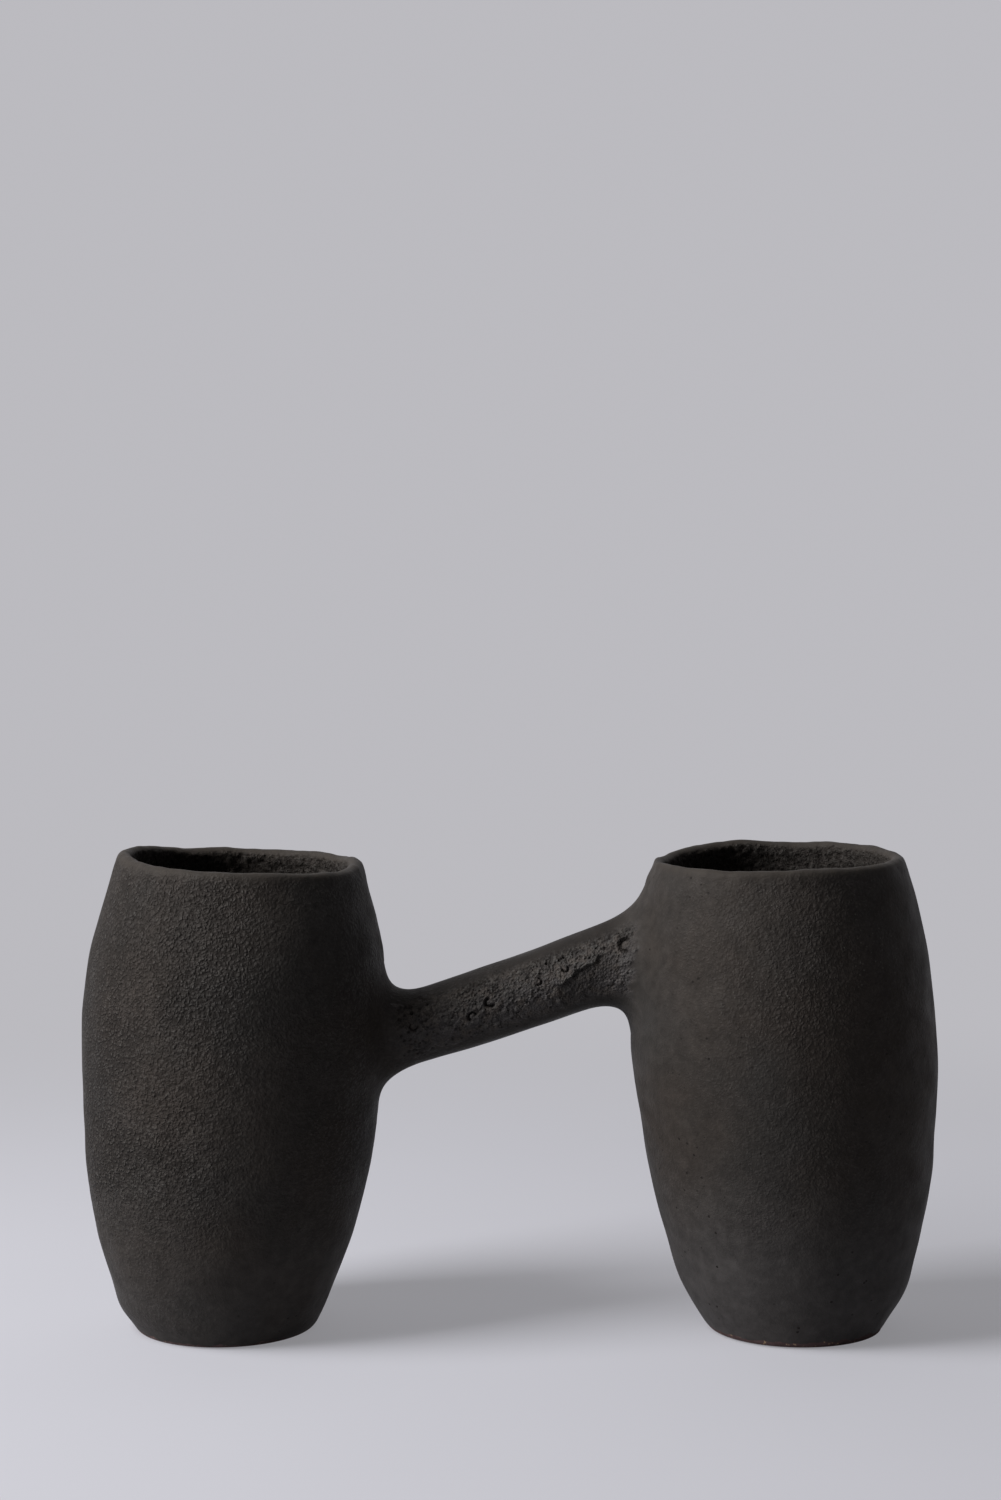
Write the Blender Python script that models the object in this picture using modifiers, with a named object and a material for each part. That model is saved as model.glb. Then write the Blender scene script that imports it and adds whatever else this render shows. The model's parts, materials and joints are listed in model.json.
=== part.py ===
"""Double clay jar: two hand-built jars that lean towards each other, joined by a slanting hollow bridge.

Metres, +Z up. The origin is on the floor midway between the jars, and +X runs from the left jar to the right.
The pieces are what the potter lutes together: slabs, walls, rim coils, a tube and two soft coils.
"""

import math

import bmesh
import bpy
import numpy as np
from mathutils import Vector

# Both jars: heights of the stations that the outer curve passes through, and the radii that they share
FOOT_SPACING = 0.246
HEEL_HEIGHT = 0.025
FLANK_HEIGHT = 0.070
BELLY_HEIGHT = 0.120
SHOULDER_HEIGHT = 0.165
FOOT_RADIUS = 0.0390
HEEL_RADIUS = 0.0493
FLANK_RADIUS = 0.0598
SHOULDER_RADIUS = 0.0617

# What differs between the two jars. The drop is how far below its mouth a jar's axis meets the bridge's axis
LEFT_HEIGHT = 0.2015
LEFT_BELLY_RADIUS = 0.0633
LEFT_MOUTH_RADIUS = 0.0510
LEFT_LEAN = 0.0085
LEFT_RIM_RISE = 0.0026
LEFT_BRIDGE_DROP = 0.0989
RIGHT_HEIGHT = 0.2025
RIGHT_BELLY_RADIUS = 0.0647
RIGHT_MOUTH_RADIUS = 0.0536
RIGHT_LEAN = 0.0098
RIGHT_RIM_RISE = 0.0005
RIGHT_BRIDGE_DROP = 0.0202

# Clay thickness, the seat of the wall on its slab, and the rim coil
WALL_AT_FOOT = 0.0075
WALL_AT_RIM = 0.0065
BASE_THICKNESS = 0.0080
SEAT_DEPTH = 0.0030
FOOT_ROUND = 0.0022
RIM_BAND = 0.0100
RIM_SCARF = 0.0030
RIM_WAVE = 0.0006

# Bridge: a tube whose axis lies in the plane of the two jars, and the soft coils smoothed round its ends
BRIDGE_RADIUS = 0.0155
BORE_RADIUS = 0.0090
COIL_WALL_REACH = 0.0120
COIL_SHORT_REACH = 0.0130
COIL_LONG_REACH = 0.0210
COIL_EDGE = 0.0004

# Slip joint between two pieces of clay
JOINT_GAP = 0.0003

# How finely the round shapes are cut
JAR_SEGMENTS = 40
WALL_RINGS = 13
LIP_STEPS = 6
FOOT_STEPS = 3
TUBE_SEGMENTS = 32
COIL_SECTIONS = 32
COIL_WALL_STEPS = 3
COIL_FILLET_STEPS = 6
BISECTIONS = 40

# Sines that make up the uneven rim: waves round the mouth and their share of RIM_WAVE
RIM_SINES = ((3, 1.0), (5, 0.6))

# Fired colours
DARK_GLAZE = (0.042, 0.037, 0.033, 1.0)
CRUSTED_GLAZE = (0.034, 0.030, 0.028, 1.0)
BARE_CLAY = (0.150, 0.072, 0.056, 1.0)

DEPTH = Vector((0.0, 1.0, 0.0))


def spline_through(heights, radii):
    """Natural cubic spline through the stations: a function from height to radius."""
    spans = np.diff(heights)
    slopes = np.diff(radii) / spans
    last = len(heights) - 1
    system = np.eye(last + 1)
    loads = np.zeros(last + 1)
    for i in range(1, last):
        system[i, i - 1:i + 2] = spans[i - 1], 2 * (spans[i - 1] + spans[i]), spans[i]
        loads[i] = 6 * (slopes[i] - slopes[i - 1])
    bends = np.linalg.solve(system, loads)

    def radius(z):
        z = min(max(z, heights[0]), heights[-1])
        i = min(int(np.searchsorted(heights, z, side="right")) - 1, last - 1)
        t = z - heights[i]
        start_slope = slopes[i] - spans[i] * (2 * bends[i] + bends[i + 1]) / 6
        bend_rate = (bends[i + 1] - bends[i]) / spans[i]
        return float(radii[i] + t * start_slope + t ** 2 * bends[i] / 2 + t ** 3 * bend_rate / 6)

    return radius


class Jar:
    """One jar: where it stands, how it leans and how its wall runs."""

    def __init__(self, name, side, height, belly_radius, mouth_radius, lean, rim_rise, bridge_drop):
        self.name = name
        self.side = side
        self.foot_x = side * FOOT_SPACING / 2
        self.height = height
        self.lean = -side * lean
        self.rim_rise = rim_rise
        self.radius = spline_through(
            (0.0, HEEL_HEIGHT, FLANK_HEIGHT, BELLY_HEIGHT, SHOULDER_HEIGHT, height),
            (FOOT_RADIUS, HEEL_RADIUS, FLANK_RADIUS, belly_radius, SHOULDER_RADIUS, mouth_radius),
        )
        self.seat_z = BASE_THICKNESS - SEAT_DEPTH
        self.rim_z = height - RIM_BAND
        self.facet_heights = [0.0, *reversed(self.ring_heights()), height]
        self.facet_radii = [self.radius(z) for z in self.facet_heights]
        join_z = height - bridge_drop
        self.bridge_join = Vector((self.foot_x + self.shift(join_z), 0.0, join_z))

    def thickness(self, z):
        return WALL_AT_FOOT + (WALL_AT_RIM - WALL_AT_FOOT) * z / self.height

    def inner_radius(self, z):
        return self.radius(z) - self.thickness(z)

    def shift(self, z):
        """How far the jar's axis has leant from the centre of its foot at a height."""
        return self.lean * z / self.height

    def beyond(self, point, swell):
        """How far a point is outside the jar's curve and facets, swollen by swell; negative inside."""
        from_axis = math.hypot(point.x - self.foot_x - self.shift(point.z), point.y)
        facet_radius = np.interp(point.z, self.facet_heights, self.facet_radii)
        return from_axis - max(self.radius(point.z), facet_radius) - swell

    def ring_heights(self):
        """Heights of the rings that cut the wall, from the rim joint down to the seat."""
        step = (self.rim_z - self.seat_z) / WALL_RINGS
        return [self.rim_z - step * i for i in range(WALL_RINGS + 1)]

    def rim_rise_at(self, angle):
        """How much the hand-pinched lip stands above or below the jar's height at an angle."""
        waves = sum(share * math.sin(count * angle + self.side) for count, share in RIM_SINES)
        return self.side * math.cos(angle) * self.rim_rise + RIM_WAVE * waves


LEFT_JAR = Jar(
    name="left",
    side=-1,
    height=LEFT_HEIGHT,
    belly_radius=LEFT_BELLY_RADIUS,
    mouth_radius=LEFT_MOUTH_RADIUS,
    lean=LEFT_LEAN,
    rim_rise=LEFT_RIM_RISE,
    bridge_drop=LEFT_BRIDGE_DROP,
)
RIGHT_JAR = Jar(
    name="right",
    side=1,
    height=RIGHT_HEIGHT,
    belly_radius=RIGHT_BELLY_RADIUS,
    mouth_radius=RIGHT_MOUTH_RADIUS,
    lean=RIGHT_LEAN,
    rim_rise=RIGHT_RIM_RISE,
    bridge_drop=RIGHT_BRIDGE_DROP,
)
JARS = (LEFT_JAR, RIGHT_JAR)

BRIDGE_AXIS = (RIGHT_JAR.bridge_join - LEFT_JAR.bridge_join).normalized()
BRIDGE_MIDDLE = (RIGHT_JAR.bridge_join + LEFT_JAR.bridge_join) / 2
BRIDGE_UP = BRIDGE_AXIS.cross(DEPTH)


def fired_clay(name, colour, roughness):
    material = bpy.data.materials.new(name)
    material.use_nodes = True
    shader = material.node_tree.nodes["Principled BSDF"]
    shader.inputs["Base Color"].default_value = colour
    shader.inputs["Roughness"].default_value = roughness
    shader.inputs["Metallic"].default_value = 0.0
    return material


def new_collection(name):
    collection = bpy.data.collections.new(name)
    bpy.context.scene.collection.children.link(collection)
    return collection


def empty_at(name, location, collection, parent=None):
    empty = bpy.data.objects.new(name, None)
    empty.location = location
    empty.parent = parent
    collection.objects.link(empty)
    return empty


def place(piece, name, material, parent, collection):
    """Names a finished piece, gives it its clay and hangs it on its empty."""
    piece.name = name
    piece.data.name = name
    piece.data.materials.clear()
    piece.data.materials.append(material)
    piece.parent = parent
    for old in list(piece.users_collection):
        old.objects.unlink(piece)
    collection.objects.link(piece)
    return piece


def hide_cutter(cutter, name, parent, collection):
    cutter.name = name
    cutter.parent = parent
    cutter.hide_render = True
    cutter.display_type = "WIRE"
    for old in list(cutter.users_collection):
        old.objects.unlink(cutter)
    collection.objects.link(cutter)
    return cutter


def cut(piece, cutter):
    boolean = piece.modifiers.new(f"cut by {cutter.name}", "BOOLEAN")
    boolean.operation = "DIFFERENCE"
    boolean.solver = "EXACT"
    boolean.object = cutter


def turned(profile, closed, push):
    """Turns a profile of (radius, height) about Z, then pushes every point off round by hand."""
    mesh = bpy.data.meshes.new("profile")
    count = len(profile)
    edges = [(i, i + 1) for i in range(count - 1)]
    if closed:
        edges.append((count - 1, 0))
    mesh.from_pydata([(r, 0.0, z) for r, z in profile], edges, [])
    wheel = bpy.data.objects.new("profile", mesh)
    bpy.context.scene.collection.objects.link(wheel)
    screw = wheel.modifiers.new("turn", "SCREW")
    screw.axis = "Z"
    screw.angle = math.tau
    screw.steps = JAR_SEGMENTS
    screw.render_steps = JAR_SEGMENTS
    screw.use_merge_vertices = True
    screw.merge_threshold = 0.00001
    evaluated = wheel.evaluated_get(bpy.context.evaluated_depsgraph_get())
    solid = bpy.data.meshes.new_from_object(evaluated)
    bpy.data.objects.remove(wheel)
    for vertex in solid.vertices:
        vertex.co = push(vertex.co)
    solid.shade_smooth()
    solid.set_sharp_from_angle(angle=math.radians(40))
    piece = bpy.data.objects.new("turned", solid)
    bpy.context.scene.collection.objects.link(piece)
    return piece


def leaning(jar):
    """The push that leans a jar: its rings slide sideways more the higher they are."""
    return lambda point: Vector((point.x + jar.shift(point.z), point.y, point.z))


def pinched(jar):
    """The push that leans a jar and pinches its lip up and down."""
    lean = leaning(jar)

    def push(point):
        share = min(max((point.z - jar.rim_z) / RIM_BAND, 0.0), 1.0)
        lift = jar.rim_rise_at(math.atan2(point.y, point.x)) * share ** 2 * (3 - 2 * share)
        return lean(point) + Vector((0.0, 0.0, lift))

    return push


def bezier(start, middle, end, steps):
    """Points of a quadratic curve, both ends included."""
    shares = [i / steps for i in range(steps + 1)]
    return [start * (1 - t) ** 2 + middle * 2 * t * (1 - t) + end * t ** 2 for t in shares]


def base_profile(jar):
    """A slab with a raised floor, a ledge that the wall stands on and a rounded foot."""
    boss_radius = jar.inner_radius(jar.seat_z) - JOINT_GAP
    foot = bezier(
        Vector((jar.radius(FOOT_ROUND), FOOT_ROUND)),
        Vector((jar.radius(0.0), 0.0)),
        Vector((jar.radius(0.0) - FOOT_ROUND, 0.0)),
        FOOT_STEPS,
    )
    return [
        (0.0, BASE_THICKNESS),
        (boss_radius, BASE_THICKNESS),
        (boss_radius, jar.seat_z),
        (jar.radius(jar.seat_z), jar.seat_z),
        *[(point.x, point.y) for point in foot],
        (0.0, 0.0),
    ]


def wall_profile(jar):
    """The wall, down its outer side and up its inner side. Its top is cut to a scarf for the rim coil."""
    heights = jar.ring_heights()
    heights[-1] += JOINT_GAP
    outer = [(jar.radius(z), z) for z in heights]
    heights[0] -= RIM_SCARF
    inner = [(jar.inner_radius(z), z) for z in reversed(heights)]
    return outer + inner


def rim_profile(jar):
    """The rim coil: a half-round lip, down its outer side to the scarf and up its inner side."""
    lip_radius = jar.thickness(jar.height) / 2
    lip_z = jar.height - lip_radius
    lip_middle = jar.radius(lip_z) - lip_radius
    lip = [
        (lip_middle + lip_radius * math.cos(angle), lip_z + lip_radius * math.sin(angle))
        for angle in (math.pi - math.pi * i / LIP_STEPS for i in range(LIP_STEPS + 1))
    ]
    outer_z = jar.rim_z + JOINT_GAP
    inner_z = outer_z - RIM_SCARF
    outer = [(jar.radius(outer_z), outer_z)]
    inner = [(jar.inner_radius(inner_z), inner_z)]
    return lip + outer + inner


def envelope_profile(jar):
    """The jar as one filled shape, swollen by the joint gap, to cut what butts against it."""
    rings = [(r + JOINT_GAP, z) for r, z in zip(jar.facet_radii, jar.facet_heights)]
    return [(0.0, jar.height), *reversed(rings), (0.0, 0.0)]


def leave_wall(jar, offset, swell):
    """The point where a line beside the bridge's axis, at an offset from it, comes out of the jar."""
    inside = jar.bridge_join
    outside = BRIDGE_MIDDLE
    for _ in range(BISECTIONS):
        middle = (inside + outside) / 2
        if jar.beyond(middle + offset, swell) < 0:
            inside = middle
        else:
            outside = middle
    return outside + offset


def behind_wall(jar, depth):
    """The point on the bridge's axis at a depth behind the jar's outer surface."""
    return leave_wall(jar, Vector(), 0.0) + BRIDGE_AXIS * jar.side * depth


def bridge_cylinder(radius, depth):
    """A cylinder on the bridge's axis, from a depth inside one jar to that depth inside the other."""
    start = behind_wall(LEFT_JAR, depth)
    end = behind_wall(RIGHT_JAR, depth)
    bpy.ops.mesh.primitive_cylinder_add(
        vertices=TUBE_SEGMENTS,
        radius=radius,
        depth=(end - start).length,
        location=(start + end) / 2,
        rotation=BRIDGE_AXIS.to_track_quat("Z", "Y").to_euler(),
    )
    cylinder = bpy.context.active_object
    cylinder.data.shade_smooth()
    cylinder.data.set_sharp_from_angle(angle=math.radians(40))
    return cylinder


def luting_section(jar, angle):
    """One slice of a luting coil: it lies on the wall and on the tube, and a hollow curve joins its edges."""
    away = BRIDGE_UP * math.cos(angle) + DEPTH * math.sin(angle)
    out = BRIDGE_AXIS * -jar.side
    inner = BRIDGE_RADIUS + JOINT_GAP
    wall_step = COIL_WALL_REACH / COIL_WALL_STEPS
    on_wall = [leave_wall(jar, away * (inner + wall_step * i), JOINT_GAP) for i in range(COIL_WALL_STEPS + 1)]
    open_side = (1 + jar.side * math.cos(angle)) / 2
    reach = COIL_SHORT_REACH + (COIL_LONG_REACH - COIL_SHORT_REACH) * open_side
    tube_end = on_wall[0] + out * reach
    hollow = bezier(
        leave_wall(jar, away * (inner + COIL_WALL_REACH), JOINT_GAP + COIL_EDGE),
        leave_wall(jar, away * (inner + COIL_EDGE), JOINT_GAP + COIL_EDGE),
        tube_end + away * COIL_EDGE,
        COIL_FILLET_STEPS,
    )
    return [*on_wall, *hollow, tube_end]


def luting_coil(jar):
    """Lofts the slices of a luting coil into one ring round the end of the tube."""
    shape = bmesh.new()
    rows = []
    for i in range(COIL_SECTIONS):
        section = luting_section(jar, math.tau * i / COIL_SECTIONS)
        rows.append([shape.verts.new(point) for point in section])
    for row, following in zip(rows, rows[1:] + rows[:1]):
        for i in range(len(row)):
            j = (i + 1) % len(row)
            shape.faces.new((row[i], row[j], following[j], following[i]))
    bmesh.ops.recalc_face_normals(shape, faces=shape.faces)
    mesh = bpy.data.meshes.new("luting")
    shape.to_mesh(mesh)
    shape.free()
    mesh.shade_smooth()
    mesh.set_sharp_from_angle(angle=math.radians(50))
    piece = bpy.data.objects.new("luting", mesh)
    bpy.context.scene.collection.objects.link(piece)
    return piece


def build_jar(jar, stand, bore_cutter, glaze, bare, collection):
    """The slab, the wall with its port into the bridge, and the rim coil of one jar."""
    base = turned(base_profile(jar), False, leaning(jar))
    place(base, f"{jar.name}_base", bare, stand, collection)
    wall = turned(wall_profile(jar), True, leaning(jar))
    place(wall, f"{jar.name}_wall", glaze, stand, collection)
    cut(wall, bore_cutter)
    rim = turned(rim_profile(jar), True, pinched(jar))
    place(rim, f"{jar.name}_rim", glaze, stand, collection)


def main():
    for old in list(bpy.data.objects):
        bpy.data.objects.remove(old)
    collection = new_collection("double_clay_jar")
    cutters = new_collection("cutters")
    glaze = fired_clay("dark_glaze", DARK_GLAZE, 0.62)
    crust = fired_clay("crusted_glaze", CRUSTED_GLAZE, 0.70)
    bare = fired_clay("bare_clay", BARE_CLAY, 0.85)

    whole = empty_at("double_jar", (0.0, 0.0, 0.0), collection)
    tube_depth = BRIDGE_RADIUS + WALL_AT_FOOT
    bore = bridge_cylinder(BORE_RADIUS, tube_depth + WALL_AT_FOOT)
    bore_cutter = hide_cutter(bore, "bore_cutter", whole, cutters)
    tube = place(bridge_cylinder(BRIDGE_RADIUS, tube_depth), "bridge_tube", crust, whole, collection)
    cut(tube, bore_cutter)
    for jar in JARS:
        stand = empty_at(f"{jar.name}_jar", (jar.foot_x, 0.0, 0.0), collection, whole)
        build_jar(jar, stand, bore_cutter, glaze, bare, collection)
        envelope = turned(envelope_profile(jar), False, leaning(jar))
        cut(tube, hide_cutter(envelope, f"{jar.name}_envelope", stand, cutters))
        place(luting_coil(jar), f"{jar.name}_luting_coil", glaze, whole, collection)


main()
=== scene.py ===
"""Looks of the double clay jar: two dark, hand-built jars joined by a slanting hollow bridge.

The pot is first shaped as one skin, as wet clay is smoothed into one body, so that the fillets run from
wall to bridge without a break. It is then cut into the clay pieces that it was luted from, and each piece
is closed. Metres, +Z up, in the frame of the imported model.
"""
import json
import math
from collections import namedtuple

import bmesh
import bpy
import numpy as np
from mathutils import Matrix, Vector


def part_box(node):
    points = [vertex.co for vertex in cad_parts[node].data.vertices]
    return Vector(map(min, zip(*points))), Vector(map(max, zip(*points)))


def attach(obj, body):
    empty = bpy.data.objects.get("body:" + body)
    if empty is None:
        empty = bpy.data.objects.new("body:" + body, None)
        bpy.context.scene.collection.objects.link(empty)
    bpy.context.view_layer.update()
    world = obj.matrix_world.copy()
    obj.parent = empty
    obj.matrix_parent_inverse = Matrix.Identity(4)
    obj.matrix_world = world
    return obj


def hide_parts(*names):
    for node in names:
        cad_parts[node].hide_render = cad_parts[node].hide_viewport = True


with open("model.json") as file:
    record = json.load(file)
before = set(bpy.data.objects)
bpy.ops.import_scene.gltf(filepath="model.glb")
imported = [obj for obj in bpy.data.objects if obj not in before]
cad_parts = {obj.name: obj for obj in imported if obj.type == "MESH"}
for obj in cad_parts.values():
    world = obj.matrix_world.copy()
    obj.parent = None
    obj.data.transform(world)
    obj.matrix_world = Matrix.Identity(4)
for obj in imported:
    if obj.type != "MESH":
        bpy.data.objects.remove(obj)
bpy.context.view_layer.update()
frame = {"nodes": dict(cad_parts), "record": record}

# Pieces of clay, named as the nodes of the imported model
JAR_PIECES = ("left_base", "left_wall", "left_rim", "right_base", "right_wall", "right_rim")
BRIDGE_PIECES = ("bridge_tube", "left_luting_coil", "right_luting_coil")
PIECES = JAR_PIECES + BRIDGE_PIECES

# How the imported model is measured
DEPTH = Vector((0.0, 1.0, 0.0))
MEASURES = 24
MEASURE_MARGINS = (0.0005, 0.0040)
TUBE_PROBE = 0.02
BISECTIONS = 30

# Cage of a jar: its columns and rows, and the patches that bridge and bore take out of its wall
COLUMNS = 40
OUTER_ROW = 0.0100
INNER_ROW = 0.0190
MOUTH_ROW = 0.0085
HOLE_COLUMNS = 5
HOLE_ROW = 0.0100
HOLE_DISTANCES = (0.0225, 0.0450)
PORT_COLUMNS = 3
PORT_ROW = 0.0100
PORT_DISTANCES = (0.0, 0.0225)
SKIN_LEVELS = 3
WELD = 0.00001

# Foot and floor: how far the rows stand in from the wall above them, and their heights
FOOT_ROWS = ((0.0078, 0.0), (0.0052, 0.0001), (0.0030, 0.0008), (0.0015, 0.0024))
UNDERSIDE_RADII = (0.008, 0.018, 0.028)
FLOOR_CORNER = ((0.0, 0.0220), (0.0005, 0.0125), (0.0035, 0.0086))
FLOOR_RADII = (0.022, 0.012, 0.006)

# Lip: half its thickness, its joint, and the height of its crest every 15 degrees, from +X to the back
LIP_ROUND = 0.0033
LIP_TURNS = (0, 45, 90, 135, 180)
SCARF = 0.0030
LIP_BLEND = 0.0300
LEFT_CREST = (
    0.2008, 0.2008, 0.1995, 0.2001, 0.2004, 0.1998, 0.2003, 0.2013, 0.2013, 0.2027, 0.2046, 0.2052,
    0.2052, 0.2052, 0.2045, 0.2036, 0.2028, 0.2023, 0.2019, 0.2016, 0.2010, 0.2001, 0.1995, 0.2001,
)
RIGHT_CREST = (
    0.2034, 0.2038, 0.2042, 0.2039, 0.2040, 0.2033, 0.2036, 0.2044, 0.2032, 0.2024, 0.2011, 0.2003,
    0.2002, 0.2017, 0.2018, 0.2018, 0.2020, 0.2029, 0.2034, 0.2034, 0.2036, 0.2036, 0.2035, 0.2034,
)

# Swells and dents of the hands: turn from +X to the back, height, reach round and up, and how far out
Swell = namedtuple("Swell", "turn z reach rise out")
LEFT_SWELLS = (
    Swell(turn=0, z=0.203, reach=45, rise=0.012, out=0.0011),
    Swell(turn=180, z=0.128, reach=60, rise=0.032, out=0.0010),
    Swell(turn=180, z=0.060, reach=60, rise=0.035, out=0.0008),
    Swell(turn=0, z=0.082, reach=50, rise=0.020, out=0.0011),
    Swell(turn=210, z=0.002, reach=40, rise=0.006, out=-0.0022),
    Swell(turn=185, z=0.012, reach=40, rise=0.008, out=0.0012),
)
RIGHT_SWELLS = (
    Swell(turn=180, z=0.202, reach=45, rise=0.005, out=-0.0020),
    Swell(turn=0, z=0.186, reach=45, rise=0.010, out=0.0008),
    Swell(turn=180, z=0.116, reach=30, rise=0.016, out=0.0011),
    Swell(turn=180, z=0.058, reach=45, rise=0.020, out=0.0009),
    Swell(turn=0, z=0.062, reach=45, rise=0.020, out=0.0009),
    Swell(turn=0, z=0.001, reach=50, rise=0.010, out=-0.0030),
    Swell(turn=0, z=0.018, reach=60, rise=0.012, out=0.0014),
    Swell(turn=180, z=0.020, reach=60, rise=0.012, out=0.0013),
    Swell(turn=180, z=0.001, reach=50, rise=0.007, out=-0.0012),
)
PRESSED_DEPTH = (0.0060, 0.0015)

# Fillets from bridge to wall: their reach along the tube and the wall, at the bridge's top and its bottom
Fillet = namedtuple("Fillet", "on_tube on_wall")
LEFT_FILLET = Fillet(on_tube=(0.0175, 0.0165), on_wall=(0.0175, 0.0095))
RIGHT_FILLET = Fillet(on_tube=(0.0210, 0.0200), on_wall=(0.0130, 0.0182))
FILLET_SHARES = (0.30, 0.55, 0.80, 1.00)

# Bridge: a tube that thickens to the right and sags a little, its bore, and the joints at its ends
LEFT_TUBE_RADIUS = 0.0152
RIGHT_TUBE_RADIUS = 0.0163
TUBE_SAG = 0.0006
TUBE_RINGS = 16
BORE_RADIUS = 0.0090
BORE_RINGS = 4
PORT_RADIUS = 0.0105
PORT_ROUND = 0.0020
BRIDGE_SKIN = 0.0120
JOINT_DEPTH = 0.0025
NEAR_BRIDGE = 0.7
SMOOTH_ANGLE = 70

# Crust on the bridge: places are given along the axis, and up round the tube from the middle of its front
CRUST_SEED = 7
CRUST_CUTS = 1
CRUST_START = -0.0490
CRUST_END = 0.0590
CRUST_FADE_IN = (-0.008, 0.006)
CRUST_FADE_OUT = (0.0028, -0.0012)
CRUST_TOP = (0.90, 0.60)
CRUST_BOTTOM = (-0.80, -0.46)
CRUST_BEHIND = 0.7
CRUST_SLANT = 0.0105
CRUST_SLANTED = (0.45, -0.50)
CRUST_RAGS = ((0.0012, 5.0), (0.0010, 13.0), (0.0007, 31.0))
CRUST_LEAST = 0.02
CRUST_LIMIT = 0.0016

# Lumps, crumbs and pits: how many, how large, how high for their width, and how likely
LUMPS = 900
LUMP_RADII = (0.0008, 0.0019)
LUMP_RISE = 0.42
LUMPY_RISE = 0.20
LUMPY_END = (-0.018, -0.030)
DRIPPED_LUMPS = 0.6
CRUMBS = 6400
CRUMB_RADII = (0.00032, 0.00064)
CRUMB_FOOT = 0.00015
CRUMB_RISE = 0.46
PITS = 3600
PIT_RADII = (0.00028, 0.00062)
PIT_REACH = 1.5
PIT_DEPTH = 0.75
PIT_LUCK = 0.26
LUMPY_LUCK = 0.10
LUMPY_GROWTH = 0.6

# Crumbly stretch: the middle and the half width of its band at the left and the right, and where it ends
CRUMB_LINES = (0.0078, 0.0104)
CRUMB_REACHES = (0.0080, 0.0064)
CRUMB_SHIFT = (0.010, 0.036)
CRUMB_LEFT_END = (-0.036, -0.020)
CRUMB_RIGHT_END = (0.046, 0.052)
CRUMB_RIGHT_FOOT = (-0.009, -0.003)
DRIPPED_CRUMBS = 0.9

# Craters of burst bubbles: a round groove that stays open towards one side, a turn in degrees
Crater = namedtuple("Crater", "along up radius depth opens")
CRATERS = (
    Crater(along=0.0538, up=0.0064, radius=0.0025, depth=0.0022, opens=-25),
    Crater(along=-0.0082, up=0.0023, radius=0.0019, depth=0.0020, opens=20),
    Crater(along=-0.0170, up=-0.0014, radius=0.0018, depth=0.0019, opens=-60),
    Crater(along=0.0140, up=0.0040, radius=0.0014, depth=0.0012, opens=150),
    Crater(along=0.0265, up=0.0055, radius=0.0013, depth=0.0016, opens=100),
    Crater(along=-0.0420, up=0.0030, radius=0.0016, depth=0.0013, opens=60),
)
CRATER_REACH = 2.2
CRATER_CLOSED = (0.75, 0.0)
CRATER_GROOVE = 0.28
CRATER_CALM = 1.55
CRATER_LEVEL = 0.0003

# Calm patches of the crust, where the glaze flowed together again
Calm = namedtuple("Calm", "along up reach share")
CALM_PATCHES = (
    Calm(along=-0.0270, up=0.0082, reach=0.0062, share=0.70),
    Calm(along=0.0062, up=0.0026, reach=0.0042, share=0.65),
    Calm(along=0.0185, up=0.0016, reach=0.0046, share=0.75),
    Calm(along=-0.0330, up=-0.0070, reach=0.0060, share=0.60),
    Calm(along=0.0430, up=0.0005, reach=0.0040, share=0.60),
)
CALM_REACH = 1.4
CALM_LEVEL = 0.0004

# Drip: a smooth run of glaze on the crust, and the brow that stands above its edge
DRIP_FROM = (0.0215, 0.0000)
DRIP_TO = (0.0410, 0.0052)
DRIP_WAVES = ((0.0005, 9.0), (0.0003, 23.0))
DRIP_EDGE = (0.0004, -0.0004)
DRIP_FOOT = (-0.0110, -0.0070)
DRIP_START = (-0.15, 0.10)
DRIP_END = (1.45, 1.15)
DRIP_SHADE = 0.5
BROW_START = (-0.20, 0.15)
BROW_END = (1.20, 0.95)
BROW_EDGE = (-0.0003, 0.0003)
BROW_REACH = 0.0035
BROW_HEIGHT = 0.0013
# Painted highlight along the crest of the brow: where it lies and how wide it is
BROW_CREST = 0.0004
BROW_CREST_REACH = 0.0005

# Where the finishes lie: ranges of depth in the clay, height, drop below the lip or a turn's sine or cosine
INSIDE_DEPTH = (0.0035, 0.0055)
INSIDE_DROP = (0.0008, 0.0026)
INSIDE_HEIGHT = (0.004, 0.006)
OUTSIDE_HEIGHT = (0.002, 0.012)
LEATHER_HEIGHT = (0.028, 0.072)
LEATHER_DROP = (0.000, 0.006)
LEATHER_LEAST = 0.22
LEFT_LEATHER = (0.54, 0.50)
RIGHT_LEATHER = (0.17, 0.54)
COIL_DISTANCE = 0.016
COIL_REACH = 0.022
COIL_SMOOTHED = 0.75
BRIDGE_SMOOTHED = 0.6
BEHIND = (0.2, 0.8)
BEHIND_SHARE = 0.8
CREASED_TURN = math.radians(215)
CREASED = (0.30, 0.85)
GRAINY_TURN = math.radians(-84)
GRAINY_REACH = math.radians(42)
GRAINY_HEIGHT = (0.120, 0.180)
GRAINY_LEAST = 0.40
LEFT_GRAIN = 0.15
WORN_DROP = (0.0045, 0.0010)
# Paler colour towards the foot of each jar and on the lower front of the bridge's crust: partly a paler
# glaze, partly painted bounce light from the floor
LEFT_PALE = 0.25
LEFT_PALE_HEIGHT = (0.060, 0.015)
RIGHT_PALE = 0.75
RIGHT_PALE_HEIGHT = (0.090, 0.020)
BRIDGE_PALE = 0.30
BRIDGE_PALE_SIDE = (0.5, -0.1)
# Painted shade on the top of the bridge, where it faces up: its colour is mixed towards the dark groove shade
# there
TOP_SHADE = 0.80
TOP_SHADE_UP = (0.50, 0.74)
TOP_SHADE_LEFT = (-0.056, -0.040)
TOP_SHADE_RIGHT = (0.064, 0.044)

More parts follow.
